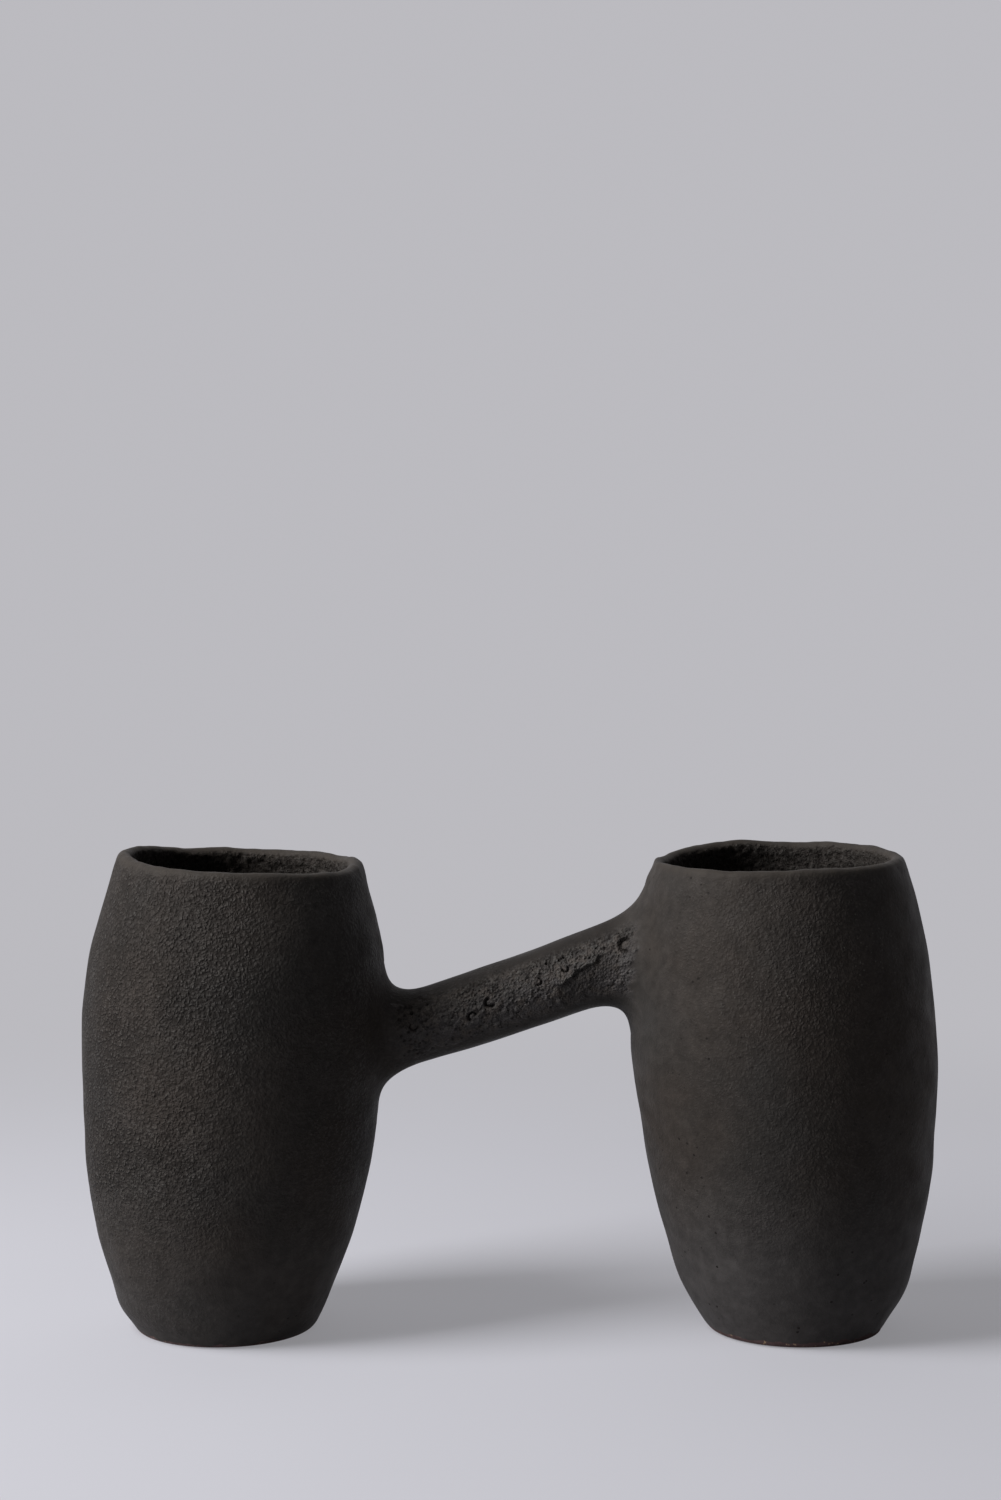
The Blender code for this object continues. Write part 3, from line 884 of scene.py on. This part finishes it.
class Crust:
    """The crusted points of the bridge, unrolled, with the height at each, the painted shade in its hollows,
    and the crumbs with their painted highlight.
    """

    def __init__(self, skin, crust):
        self.chance = np.random.default_rng(CRUST_SEED)
        self.chosen = np.flatnonzero(crust > CRUST_LEAST)
        self.chosen = self.chosen[np.argsort(skin.along[self.chosen])]
        self.cover = crust[self.chosen]
        self.along = skin.along[self.chosen]
        self.girth = wrapped(skin.bridge_turn[self.chosen] + math.pi / 2) * RIGHT_TUBE_RADIUS
        self.half_girth = math.pi * RIGHT_TUBE_RADIUS
        self.height = np.zeros(len(self.chosen))
        self.hollow = np.zeros(len(self.chosen))
        self.crumb = np.zeros(len(self.chosen))

    def near(self, along, up, reach):
        """Points within reach of a place, and their distances from it."""
        first, last = np.searchsorted(self.along, (along - reach, along + reach))
        distance = np.hypot(self.along[first:last] - along, self.girth[first:last] - up)
        within = np.flatnonzero(distance < reach)
        return within + first, distance[within]

    def scatter(self, count):
        """Places all over the crust, each with a size and a luck from 0 to 1."""
        return zip(
            self.chance.uniform(CRUST_START, CRUST_END, count),
            self.chance.uniform(-self.half_girth, self.half_girth, count),
            self.chance.uniform(0.0, 1.0, count),
            self.chance.uniform(0.0, 1.0, count),
        )

    def crumbly(self, along, up):
        """How crumbly a place is, from 0, softly lumpy, to 1. The back is folded onto the front."""
        up = np.where(np.abs(up) > self.half_girth / 2, np.sign(up) * self.half_girth - up, up)
        right = ramp(along, *CRUMB_SHIFT)
        line = sized(CRUMB_LINES, right)
        reach = sized(CRUMB_REACHES, right)
        band = np.exp(-((up - line) / reach) ** 4) * ramp(along, *CRUMB_LEFT_END)
        right_end = ramp(along, *CRUMB_RIGHT_END) * ramp(up, *CRUMB_RIGHT_FOOT)
        return np.clip(band + right_end, 0.0, 1.0) * (1 - DRIPPED_CRUMBS * self.under_drip(along, up))

    def lumpy(self, along):
        """How much larger the lumps and pits are: most at the left end."""
        return ramp(along, *LUMPY_END)

    def from_drip(self, along, up):
        """Distance of a place above the edge of the drip, and how far along the edge it lies."""
        start, end = np.array(DRIP_FROM), np.array(DRIP_TO)
        length = np.linalg.norm(end - start)
        run_along, run_up = (end - start) / length
        share = ((along - start[0]) * run_along + (up - start[1]) * run_up) / length
        off = (up - start[1]) * run_along - (along - start[0]) * run_up
        return off + sum(height * np.sin(turns * share) for height, turns in DRIP_WAVES), share

    def under_drip(self, along, up):
        """How surely a place lies on the smooth skin below the edge of the drip."""
        off, share = self.from_drip(along, up)
        across = ramp(off, *DRIP_EDGE) * ramp(off, *DRIP_FOOT)
        return across * ramp(share, *DRIP_START) * ramp(share, *DRIP_END)

    def raise_lumps(self):
        for along, up, size, _ in self.scatter(LUMPS):
            radius = sized(LUMP_RADII, size)
            near, distance = self.near(along, up, radius)
            rise = LUMP_RISE + LUMPY_RISE * self.lumpy(along)
            dome = np.sqrt(1 - (distance / radius) ** 2) * radius * rise
            dome = dome * (1 - DRIPPED_LUMPS * self.under_drip(along, up))
            self.height[near] = np.maximum(self.height[near], dome)

    def raise_crumbs(self):
        for along, up, size, luck in self.scatter(CRUMBS):
            if luck > self.crumbly(along, up):
                continue
            radius = sized(CRUMB_RADII, size)
            near, distance = self.near(along, up, radius)
            dome = np.sqrt(1 - (distance / radius) ** 2)
            self.height[near] = np.maximum(self.height[near], CRUMB_FOOT + dome * radius * CRUMB_RISE)
            # The crumb's grey is strongest on its top, a painted highlight
            self.crumb[near] = np.maximum(self.crumb[near], dome)

    def burst_pits(self):
        for along, up, size, luck in self.scatter(PITS):
            lumpy = self.lumpy(along)
            if luck > at_least(PIT_LUCK + LUMPY_LUCK * lumpy, self.crumbly(along, up)):
                continue
            radius = sized(PIT_RADII, size ** 2) * (1 + LUMPY_GROWTH * lumpy)
            near, distance = self.near(along, up, PIT_REACH * radius)
            bowl = np.exp(-(distance / radius) ** 4)
            self.height[near] -= bowl * radius * PIT_DEPTH
            # Painted shade in the pit
            self.hollow[near] = np.maximum(self.hollow[near], bowl)
            self.crumb[near] *= 1 - bowl

    def calm_patches(self):
        for patch in CALM_PATCHES:
            near, distance = self.near(patch.along, patch.up, CALM_REACH * patch.reach)
            calm = patch.share * np.exp(-(distance / patch.reach) ** 4)
            self.height[near] += (CALM_LEVEL - self.height[near]) * calm
            self.hollow[near] *= 1 - calm
            self.crumb[near] *= 1 - calm

    def sink_craters(self):
        for crater in CRATERS:
            near, distance = self.near(crater.along, crater.up, CRATER_REACH * crater.radius)
            facing = np.arctan2(self.girth[near] - crater.up, self.along[near] - crater.along)
            closed = ramp(np.cos(facing - math.radians(crater.opens)), *CRATER_CLOSED)
            groove = np.exp(-((distance - crater.radius) / (CRATER_GROOVE * crater.radius)) ** 2) * closed
            calm = np.exp(-(distance / (CRATER_CALM * crater.radius)) ** 6)
            self.height[near] = self.height[near] * (1 - calm) + CRATER_LEVEL * calm - groove * crater.depth
            # Painted shade in the crater's groove, cleared in its calm middle
            self.hollow[near] = np.maximum(self.hollow[near] * (1 - calm), groove)
            self.crumb[near] *= 1 - calm

    def run_drip(self):
        off, share = self.from_drip(self.along, self.girth)
        beside = ramp(share, *BROW_START) * ramp(share, *BROW_END)
        brow = ramp(off, *BROW_EDGE) * np.exp(-(off.clip(0) / BROW_REACH) ** 2) * beside
        crest = np.exp(-((off - BROW_CREST) / BROW_CREST_REACH) ** 2) * beside
        self.height += brow * BROW_HEIGHT
        # Painted highlight along the crest of the brow
        self.crumb = np.maximum(self.crumb, crest)
        # Painted shade below the drip's edge
        self.hollow = np.maximum(self.hollow, DRIP_SHADE * self.under_drip(self.along, self.girth))


def boil_crust(skin, crust):
    """Boils the glaze on the bridge: lumps, crumbs, burst pits, calm patches, craters and a drip."""
    boiled = Crust(skin, crust)
    boiled.raise_lumps()
    boiled.raise_crumbs()
    boiled.burst_pits()
    boiled.calm_patches()
    boiled.sink_craters()
    boiled.run_drip()
    amount = np.zeros(len(skin.z))
    amount[boiled.chosen] = np.clip(boiled.height, -CRUST_LIMIT, CRUST_LIMIT) * boiled.cover
    skin.move(skin.normals * amount[:, None])
    # Marks of the painted shade in the hollows, and of the crumbs' grey with its painted highlight
    for name, values in (("pit", boiled.hollow), ("crumb", boiled.crumb)):
        whole = np.zeros(len(skin.z))
        whole[boiled.chosen] = values * boiled.cover
        skin.mark(name, whole)


def lay_finishes(skin):
    """Where the finishes lie, and where light and shade are painted into the colour: a value from 0 to about
    1 for each, at every point.
    """
    on_bridge = skin.on(*BRIDGE_PIECES)
    over_bridge = np.cos(skin.bridge_turn)
    crust = crust_over(skin)
    inside = ramp(skin.depth, *INSIDE_DEPTH) * ramp(skin.below_lip, *INSIDE_DROP)
    inside *= ramp(skin.z, *INSIDE_HEIGHT)
    worn = ramp(skin.below_lip, *WORN_DROP) * (1 - on_bridge)

    behind = BEHIND_SHARE * ramp(np.sin(skin.turn), *BEHIND)
    creased = np.maximum(ramp(np.cos(skin.turn - CREASED_TURN), *CREASED), behind)
    grainy = np.exp(-(wrapped(skin.turn - GRAINY_TURN) / GRAINY_REACH) ** 2)
    grainy = np.maximum(grainy, behind) * at_least(GRAINY_LEAST, ramp(skin.z, *GRAINY_HEIGHT))
    height_band = ramp(skin.z, *LEATHER_HEIGHT) * ramp(skin.below_lip, *LEATHER_DROP)
    near_coil = np.exp(-((skin.bridge_distance - COIL_DISTANCE) / COIL_REACH).clip(0) ** 2)
    near_coil = near_coil * ~on_bridge * ~skin.on_left
    leather = at_least(LEATHER_LEAST, height_band) * (1 - COIL_SMOOTHED * near_coil)
    leather = leather * (1 - inside) * (1 - BRIDGE_SMOOTHED * on_bridge)
    left_hide = LEFT_LEATHER[0] + LEFT_LEATHER[1] * creased
    right_hide = RIGHT_LEATHER[0] + RIGHT_LEATHER[1] * grainy
    leather *= np.where(skin.on_left, left_hide, right_hide)
    grain = np.where(skin.on_left, LEFT_GRAIN, grainy) * height_band * (1 - inside) * ~on_bridge

    # Paler towards the feet and low on the bridge's front: partly paler glaze, partly painted bounce light
    # from the floor
    left_pale = LEFT_PALE * ramp(skin.z, *LEFT_PALE_HEIGHT)
    right_pale = RIGHT_PALE * ramp(skin.z, *RIGHT_PALE_HEIGHT)
    bridge_pale = at_least(BRIDGE_PALE, ramp(over_bridge, *BRIDGE_PALE_SIDE)) * crust
    pale = np.where(on_bridge, bridge_pale, np.where(skin.on_left, left_pale, right_pale))
    pale = pale * (1 - inside) * (1 - worn)
    # Painted shade: the bridge is darkened on its top, where it faces up
    dull = TOP_SHADE * on_bridge * ramp(over_bridge, *TOP_SHADE_UP)
    dull = dull * ramp(skin.along, *TOP_SHADE_LEFT) * ramp(skin.along, *TOP_SHADE_RIGHT)
    return {
        "inside": inside, "crust": crust, "leather": leather, "worn": worn,
        "pale": pale, "dull": dull, "grain": grain,
    }


def shape_skin(pot):
    """Gives the smooth pot the marks of the hand and the fire, and marks where its finishes lie."""
    skin = Skin(pot)
    finishes = lay_finishes(skin)
    inside = finishes["inside"]
    on_bridge = skin.on(*BRIDGE_PIECES)
    outside = (1 - inside) * ramp(skin.z, *OUTSIDE_HEIGHT)
    press_by_hand(skin)
    pinch_lips(skin)
    boil_crust(skin, finishes["crust"])
    for name, values in finishes.items():
        skin.mark(name, values)
    roughen(pot, "unevenness", *UNEVENNESS, outside * (1 - EVEN_BRIDGE * on_bridge))
    roughen(pot, "pebbling", *PEBBLING, finishes["leather"] * outside * (1 - on_bridge))
    roughen(pot, "crumbs", *INNER_CRUMBS, inside)
    roughen(pot, "lip", *LIP_WOBBLE, ramp(skin.below_lip, *LIP_WOBBLE_DROP) * (1 - on_bridge))
    keep_normals(pot)


def keep_normals(pot):
    """Keeps the normals of the whole skin, so that no joint shows once it is cut."""
    normals = read(pot.data.vertex_normals, "vector", 3, np.float32)
    kept = pot.data.attributes.new("skin_normal", "FLOAT_VECTOR", "POINT")
    kept.data.foreach_set("vector", normals.ravel())


def restore_normals(piece):
    """Gives a piece the normals that were kept, and drops their record."""
    kept = piece.data.attributes["skin_normal"]
    normals = read(kept.data, "vector", 3, np.float32)
    piece.data.attributes.remove(kept)
    piece.data.normals_split_custom_set_from_vertices(normals.tolist())


Loop = namedtuple("Loop", "edges middle spread")


def loops_of(piece):
    """The open loops of a piece: their edges, middle and mean distance from the bridge's axis."""
    skin = bmesh.from_edit_mesh(piece.data)
    skin.edges.index_update()
    unused = {edge for edge in skin.edges if edge.is_boundary}
    loops = []
    while unused:
        loop = [unused.pop()]
        for edge in loop:
            for vert in edge.verts:
                for other in vert.link_edges:
                    if other in unused:
                        unused.discard(other)
                        loop.append(other)
        places = [edge.verts[0].co for edge in loop]
        middle = sum(places, Vector()) / len(places)
        spread = sum(bridge_distance(place) for place in places) / len(places)
        loops.append(Loop([edge.index for edge in loop], middle, spread))
    return loops


def all_of(loops):
    """Picks every loop."""
    return loops


def widest(loops):
    """The loop that lies farthest from the bridge's axis."""
    return max(loops, key=lambda loop: loop.spread)


def towards(jar):
    """Picks the loops on a jar's side of the middle."""
    return lambda loops: [loop for loop in loops if loop.middle.x * jar.side > 0]


def choose(piece, *loops):
    """Selects the edges of these loops alone."""
    bpy.ops.mesh.select_mode(type="EDGE")
    bpy.ops.mesh.select_all(action="DESELECT")
    skin = bmesh.from_edit_mesh(piece.data)
    skin.edges.ensure_lookup_table()
    for loop in loops:
        for i in loop.edges:
            skin.edges[i].select_set(True)
    bmesh.update_edit_mesh(piece.data)


def close_between(piece, pick):
    """Bridges the two loops that pick takes from the open ones."""
    choose(piece, *pick(loops_of(piece)))
    bpy.ops.mesh.bridge_edge_loops()


def lead(piece, loop, place):
    """Leads an open loop on along a hidden joint, to where place says for each of its points."""
    choose(piece, loop)
    bpy.ops.mesh.extrude_edges_indiv()
    skin = bmesh.from_edit_mesh(piece.data)
    for vert in skin.verts:
        if vert.select:
            vert.co = place(vert.co)
    bmesh.update_edit_mesh(piece.data)


def sink(jar):
    """Puts a point of the bridge deeper than its pits."""
    def place(point):
        offset = point - bridge_at(0.0)
        on_axis = bridge_at(0.0) + BRIDGE_AXIS * offset.dot(BRIDGE_AXIS)
        return on_axis + (point - on_axis).normalized() * (jar.tube_radius - JOINT_DEPTH)
    return place


def root(jar):
    """Puts a point where wall, coil and tube meet under the fillet."""
    def place(point):
        away = around_bridge(turn_of(point)) * (jar.tube_radius - JOINT_DEPTH)
        return jar.leave(away, jar.outer)
    return place


def close_wall(piece, jar):
    """Closes a wall under its foot, at its rim, and round the bore."""
    def at_bridge(loop):
        return abs(loop.middle.x) < NEAR_BRIDGE * abs(jar.foot_x)

    def rings(loops):
        return sorted((loop for loop in loops if not at_bridge(loop)), key=lambda loop: loop.middle.z)

    def holes(loops):
        return [loop for loop in loops if at_bridge(loop)]

    close_between(piece, lambda loops: rings(loops)[:2])
    close_between(piece, lambda loops: rings(loops)[-2:])
    lead(piece, widest(holes(loops_of(piece))), root(jar))
    close_between(piece, holes)


def close_coil(piece, jar):
    """Closes a luting coil on its underside, against wall and tube."""
    lead(piece, widest(loops_of(piece)), root(jar))
    lead(piece, min(loops_of(piece), key=lambda loop: abs(loop.middle.x)), sink(jar))
    close_between(piece, all_of)


def close_tube(piece):
    """Closes the tube at both ends, from under its coils to the bore."""
    for jar in (LEFT, RIGHT):
        own = towards(jar)
        for place in (sink(jar), root(jar)):
            lead(piece, widest(own(loops_of(piece))), place)
        close_between(piece, own)


def cut_pieces(pot):
    """Cuts the pot into the pieces of clay and closes each one at its joints."""
    only(pot)
    bpy.ops.object.mode_set(mode="EDIT")
    bpy.ops.mesh.select_all(action="SELECT")
    bpy.ops.mesh.separate(type="MATERIAL")
    bpy.ops.object.mode_set(mode="OBJECT")
    pieces = {}
    for piece in list(bpy.context.selected_objects):
        name = piece.data.materials[0].name.removesuffix("_clay")
        pieces[name] = piece
        only(piece)
        bpy.ops.object.mode_set(mode="EDIT")
        jar = LEFT if name.startswith("left") else RIGHT
        if name.endswith("_wall"):
            close_wall(piece, jar)
        elif name.endswith("_coil"):
            close_coil(piece, jar)
        elif name == "bridge_tube":
            close_tube(piece)
        else:
            close_between(piece, all_of)
        bpy.ops.mesh.select_all(action="SELECT")
        bpy.ops.mesh.normals_make_consistent(inside=False)
        bpy.ops.object.mode_set(mode="OBJECT")
        bpy.ops.object.shade_smooth_by_angle(angle=math.radians(SMOOTH_ANGLE))
        restore_normals(piece)
        piece.vertex_groups.clear()
    return pieces


def add(tree, kind, inputs=None, **settings):
    """Adds a node. An input is given a number, a colour or the output of another node."""
    node = tree.nodes.new(kind)
    for name, value in settings.items():
        setattr(node, name, value)
    for name, value in (inputs or {}).items():
        if isinstance(value, bpy.types.NodeSocket):
            tree.links.new(value, node.inputs[name])
        else:
            node.inputs[name].default_value = value
    return node


def mix(tree, share, first, second):
    """Mixes two colours; the share of the second one is a number or an output."""
    node = add(tree, "ShaderNodeMix", {0: share, 6: first, 7: second}, data_type="RGBA")
    return node.outputs[2]


def scaled(tree, vector, factor):
    """Makes a colour lighter or darker, or a vector longer or shorter."""
    return add(tree, "ShaderNodeVectorMath", {0: vector, "Scale": factor}, operation="SCALE").outputs[0]


def reckon(tree, operation, first, second):
    return add(tree, "ShaderNodeMath", {0: first, 1: second}, operation=operation).outputs[0]


def times(tree, first, second):
    return reckon(tree, "MULTIPLY", first, second)


def rest_of(tree, share):
    """What a share leaves of 1."""
    return reckon(tree, "SUBTRACT", 1.0, share)


def stretch(tree, value, low, high, least=0.0, most=1.0):
    """Maps a value from one range to another, and holds it there."""
    places = {"Value": value, "From Min": low, "From Max": high, "To Min": least, "To Max": most}
    return add(tree, "ShaderNodeMapRange", places).outputs[0]


def place_on(tree):
    """Where a point lies, in the frame of the object."""
    return add(tree, "ShaderNodeTexCoord").outputs["Object"]


def mottling(tree, noise):
    """A noise as it comes."""
    inputs = {
        "Vector": place_on(tree),
        "Scale": noise.scale,
        "Detail": noise.detail,
        "Roughness": noise.roughness,
        "Distortion": noise.distortion,
    }
    return add(tree, "ShaderNodeTexNoise", inputs).outputs["Fac"]


def patches(tree, noise):
    """A noise stretched to its range."""
    return stretch(tree, mottling(tree, noise), noise.low, noise.high, noise.least, noise.most)


def cells(tree, grid):
    """Distance from the middle of rounded cells, whose places stray by a length in metres."""
    where = place_on(tree)
    if grid.stray:
        drift = add(tree, "ShaderNodeTexNoise", {"Vector": where, "Scale": STRAY_SCALE * grid.scale})
        drift = scaled(tree, drift.outputs["Color"], grid.stray)
        where = add(tree, "ShaderNodeVectorMath", {0: where, 1: drift}, operation="ADD").outputs[0]
    return add(tree, "ShaderNodeTexVoronoi", {"Vector": where, "Scale": grid.scale}).outputs["Distance"]


def dots(tree, grid):
    """Dots in the middles of cells, stretched to their range."""
    return stretch(tree, cells(tree, grid), grid.low, grid.high, grid.least, grid.most)


def marked(tree, name):
    """A value that was marked on the skin."""
    return add(tree, "ShaderNodeAttribute", attribute_name=name).outputs["Fac"]


def bump(tree, height, strength, distance, under=None):
    """Bumps of a height, over the ones that lie under them."""
    inputs = {"Height": height, "Strength": strength, "Distance": distance}
    if under is not None:
        inputs["Normal"] = under
    return add(tree, "ShaderNodeBump", inputs).outputs["Normal"]


def new_finish(name, gloss):
    """A new material with its nodes and its shader."""
    finish = bpy.data.materials.new(name)
    finish.use_nodes = True
    shader = finish.node_tree.nodes["Principled BSDF"]
    shader.inputs["Specular IOR Level"].default_value = gloss
    return finish, finish.node_tree, shader


def glaze_colour(tree):
    """Brown-black glaze with warmer and cooler patches and fine mottling. It is paler low down, partly from
    painted bounce light, and darkened by painted shade on the bridge's top.
    """
    body = mix(tree, patches(tree, TONES), WARM_GLAZE, COOL_GLAZE)
    body = mix(tree, marked(tree, "pale"), body, PALE_AND_BOUNCE_LIGHT)
    return scaled(tree, mix(tree, marked(tree, "dull"), body, GROOVE_SHADE), patches(tree, MOTTLE))


def glaze(name, roughness):
    """Matt glaze: leathery outside, crumbly inside, rubbed on the lip, boiled into a crust on the bridge,
    with painted highlights on its crests and crumbs and painted shade in its grooves and pits.
    """
    finish, tree, shader = new_finish(name, MATT)
    inside = marked(tree, "inside")
    crust = marked(tree, "crust")
    leather = times(tree, marked(tree, "leather"), patches(tree, TANNING))
    pimpled = patches(tree, PIMPLED)
    folds = times(tree, mottling(tree, FOLDS), rest_of(tree, pimpled))
    hide = reckon(tree, "ADD", folds, times(tree, dots(tree, PIMPLES), pimpled))
    crests = times(tree, stretch(tree, hide, *HIDE_CRESTS), leather)
    grains = mottling(tree, GRAINS)
    pinholes = times(tree, dots(tree, PINHOLES), patches(tree, PINHOLE_FIELDS))
    pinholes = times(tree, pinholes, rest_of(tree, leather))
    specks = times(tree, dots(tree, SPECKS), patches(tree, SPECK_FIELDS))
    specks = times(tree, specks, marked(tree, "grain"))

    places = {
        # Painted highlight on the crests and painted shade in the grooves, outside and inside
        "crests": crests,
        "grooves": times(tree, stretch(tree, hide, *HIDE_GROOVES), leather),
        "rubbed": times(tree, marked(tree, "worn"), patches(tree, RUBBING)),
        "inner_crests": times(tree, stretch(tree, grains, *INNER_CRESTS), inside),
        "inner_grooves": times(tree, stretch(tree, grains, *INNER_GROOVES), inside),
        "brown": times(tree, patches(tree, BROWNING), crust),
        # Grey crumbs with a painted highlight on their tops and on the drip's brow
        "crumb": marked(tree, "crumb"),
        # Painted shade in the pits, crater grooves and below the drip
        "pit": marked(tree, "pit"),
        # Painted shade in the pinholes
        "pinholes": pinholes,
        "specks": specks,
    }
    colour = glaze_colour(tree)
    for coat in COATS:
        colour = mix(tree, times(tree, places[coat.where], coat.share), colour, coat.colour)
    tree.links.new(colour, shader.inputs["Base Color"])

    rough = patches(tree, SHEEN._replace(least=roughness + SHEEN.least, most=roughness + SHEEN.most))
    rough = reckon(tree, "ADD", rough, times(tree, crests, CREST_POLISH))
    rough = reckon(tree, "ADD", rough, times(tree, inside, INSIDE_DRYNESS))
    tree.links.new(rough, shader.inputs["Roughness"])

    skin = bump(tree, hide, leather, HIDE_HEIGHT)
    skin = bump(tree, grains, inside, CRUMB_HEIGHT, skin)
    skin = bump(tree, cells(tree, FROTH), crust, FROTH_HEIGHT, skin)
    skin = bump(tree, pinholes, 1.0, -GRAIN_HEIGHT, skin)
    skin = bump(tree, specks, 1.0, GRAIN_HEIGHT, skin)
    skin = bump(tree, mottling(tree, DUST), DUST_STRENGTH, GRAIN_HEIGHT, skin)
    tree.links.new(skin, shader.inputs["Normal"])
    return finish


def bare_clay():
    """Unglazed red-brown clay under the foot, with the glaze ending in a ragged line above it."""
    finish, tree, shader = new_finish("bare_clay", MATT)
    place = add(tree, "ShaderNodeSeparateXYZ", {0: place_on(tree)}).outputs
    line = stretch(tree, place["X"], LEFT.foot_x, RIGHT.foot_x, *GLAZE_LINES)
    height = reckon(tree, "SUBTRACT", place["Z"], line)
    glazed = stretch(tree, reckon(tree, "ADD", height, patches(tree, GLAZE_RAGS)), 0.0, GLAZE_EDGE)
    clay = mix(tree, patches(tree, FLECKS), CLAY, OCHRE)
    clay = scaled(tree, clay, patches(tree, CLAY_MOTTLE))
    tree.links.new(mix(tree, glazed, clay, glaze_colour(tree)), shader.inputs["Base Color"])
    rough = stretch(tree, glazed, 0.0, 1.0, CLAY_ROUGHNESS, FOOT_ROUGHNESS)
    tree.links.new(rough, shader.inputs["Roughness"])
    skin = bump(tree, mottling(tree, CLAY_DUST), CLAY_STRENGTH, GRAIN_HEIGHT)
    tree.links.new(skin, shader.inputs["Normal"])
    return finish


def finish_pieces(pieces):
    """Names the pieces, gives each its finish, and puts it in the place of its node."""
    finishes = {
        "dark_glaze": glaze("dark_glaze", DARK_ROUGHNESS),
        "crusted_glaze": glaze("crusted_glaze", CRUST_ROUGHNESS),
        "bare_clay": bare_clay(),
    }
    slots = {part["node"]: part["material_slot"] for part in frame["record"]["subparts"]}
    for node, piece in pieces.items():
        piece.name = f"{node}_fired"
        piece.data.name = piece.name
        piece.data.materials.clear()
        piece.data.materials.append(finishes[slots[node]])
        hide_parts(node)
        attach(piece, "root")


def shown(tree):
    """1 where a ray shows the background, straight or in a reflection, and 0 where it gathers light."""
    path = add(tree, "ShaderNodeLightPath").outputs
    mirrored = reckon(tree, "MAXIMUM", path["Is Glossy Ray"], path["Is Transmission Ray"])
    return reckon(tree, "MAXIMUM", path["Is Camera Ray"], mirrored)


def make_stage():
    """A pale paper floor that fades into the even background some way from the pot."""
    bpy.ops.object.select_all(action="DESELECT")
    bpy.ops.mesh.primitive_plane_add(size=FLOOR_SIZE)
    floor = bpy.context.active_object
    floor.name = "pale_floor"
    paper, tree, shader = new_finish("pale_paper", PAPER_GLOSS)
    paper_colour = mix(tree, shown(tree), PAPER_BOUNCE, PAPER)
    tree.links.new(scaled(tree, paper_colour, patches(tree, PAPER_MOTTLE)), shader.inputs["Base Color"])
    shader.inputs["Roughness"].default_value = PAPER_ROUGHNESS
    away = add(tree, "ShaderNodeVectorMath", {0: place_on(tree)}, operation="LENGTH").outputs["Value"]
    steps = {"Value": away, "From Min": FADE_FROM, "From Max": FADE_TO, "To Min": FADE_LEAST}
    fade = add(tree, "ShaderNodeMapRange", steps, interpolation_type="SMOOTHSTEP").outputs[0]
    far = add(tree, "ShaderNodeEmission", {"Color": BACKGROUND}).outputs[0]
    share = times(tree, fade, shown(tree))
    surface = add(tree, "ShaderNodeMixShader", {0: share, 1: shader.outputs[0], 2: far}).outputs[0]
    tree.links.new(surface, tree.nodes["Material Output"].inputs["Surface"])
    floor.data.materials.append(paper)


def hang_light(name, place, size, power):
    data = bpy.data.lights.new(name, "AREA")
    data.shape = "RECTANGLE"
    data.size, data.size_y = size
    data.energy = power
    light = bpy.data.objects.new(name, data)
    light.location = place
    light.rotation_euler = (LIGHT_AIM - light.location).to_track_quat("-Z", "Y").to_euler()
    light.visible_camera = False
    bpy.context.scene.collection.objects.link(light)


def make_light():
    """A tall window on the left and towards the front, a dim one behind, and a faint even fill."""
    hang_light("window", WINDOW_PLACE, WINDOW_SIZE, WINDOW_POWER)
    hang_light("back_window", BACK_PLACE, BACK_SIZE, BACK_POWER)
    world = bpy.data.worlds.new("room")
    world.use_nodes = True
    tree = world.node_tree
    fill = tree.nodes["Background"]
    fill.inputs["Color"].default_value = FILL_COLOUR
    fill.inputs["Strength"].default_value = FILL
    seen = add(tree, "ShaderNodeBackground", {"Color": BACKGROUND}).outputs[0]
    surface = add(tree, "ShaderNodeMixShader", {0: shown(tree), 1: fill.outputs[0], 2: seen}).outputs[0]
    tree.links.new(surface, tree.nodes["World Output"].inputs["Surface"])
    bpy.context.scene.world = world


def make_camera():
    data = bpy.data.cameras.new("camera")
    data.sensor_fit = "VERTICAL"
    data.sensor_height = SENSOR_HEIGHT
    data.lens = LENS
    camera = bpy.data.objects.new("camera", data)
    camera.location = CAMERA_PLACE
    camera.rotation_euler = (CAMERA_TILT, 0.0, 0.0)
    bpy.context.scene.collection.objects.link(camera)
    bpy.context.scene.camera = camera
    bpy.context.scene.view_settings.view_transform = "Standard"


make_camera()
make_stage()
make_light()
clays = [bpy.data.materials.new(f"{piece}_clay") for piece in PIECES]
left_pot = raise_jar(LEFT, clays)
pot = raise_jar(RIGHT, clays)
only(pot, left_pot)
bpy.ops.object.join()
span_bridge(pot)
subdivide_skin(pot)
shape_skin(pot)
finish_pieces(cut_pieces(pot))
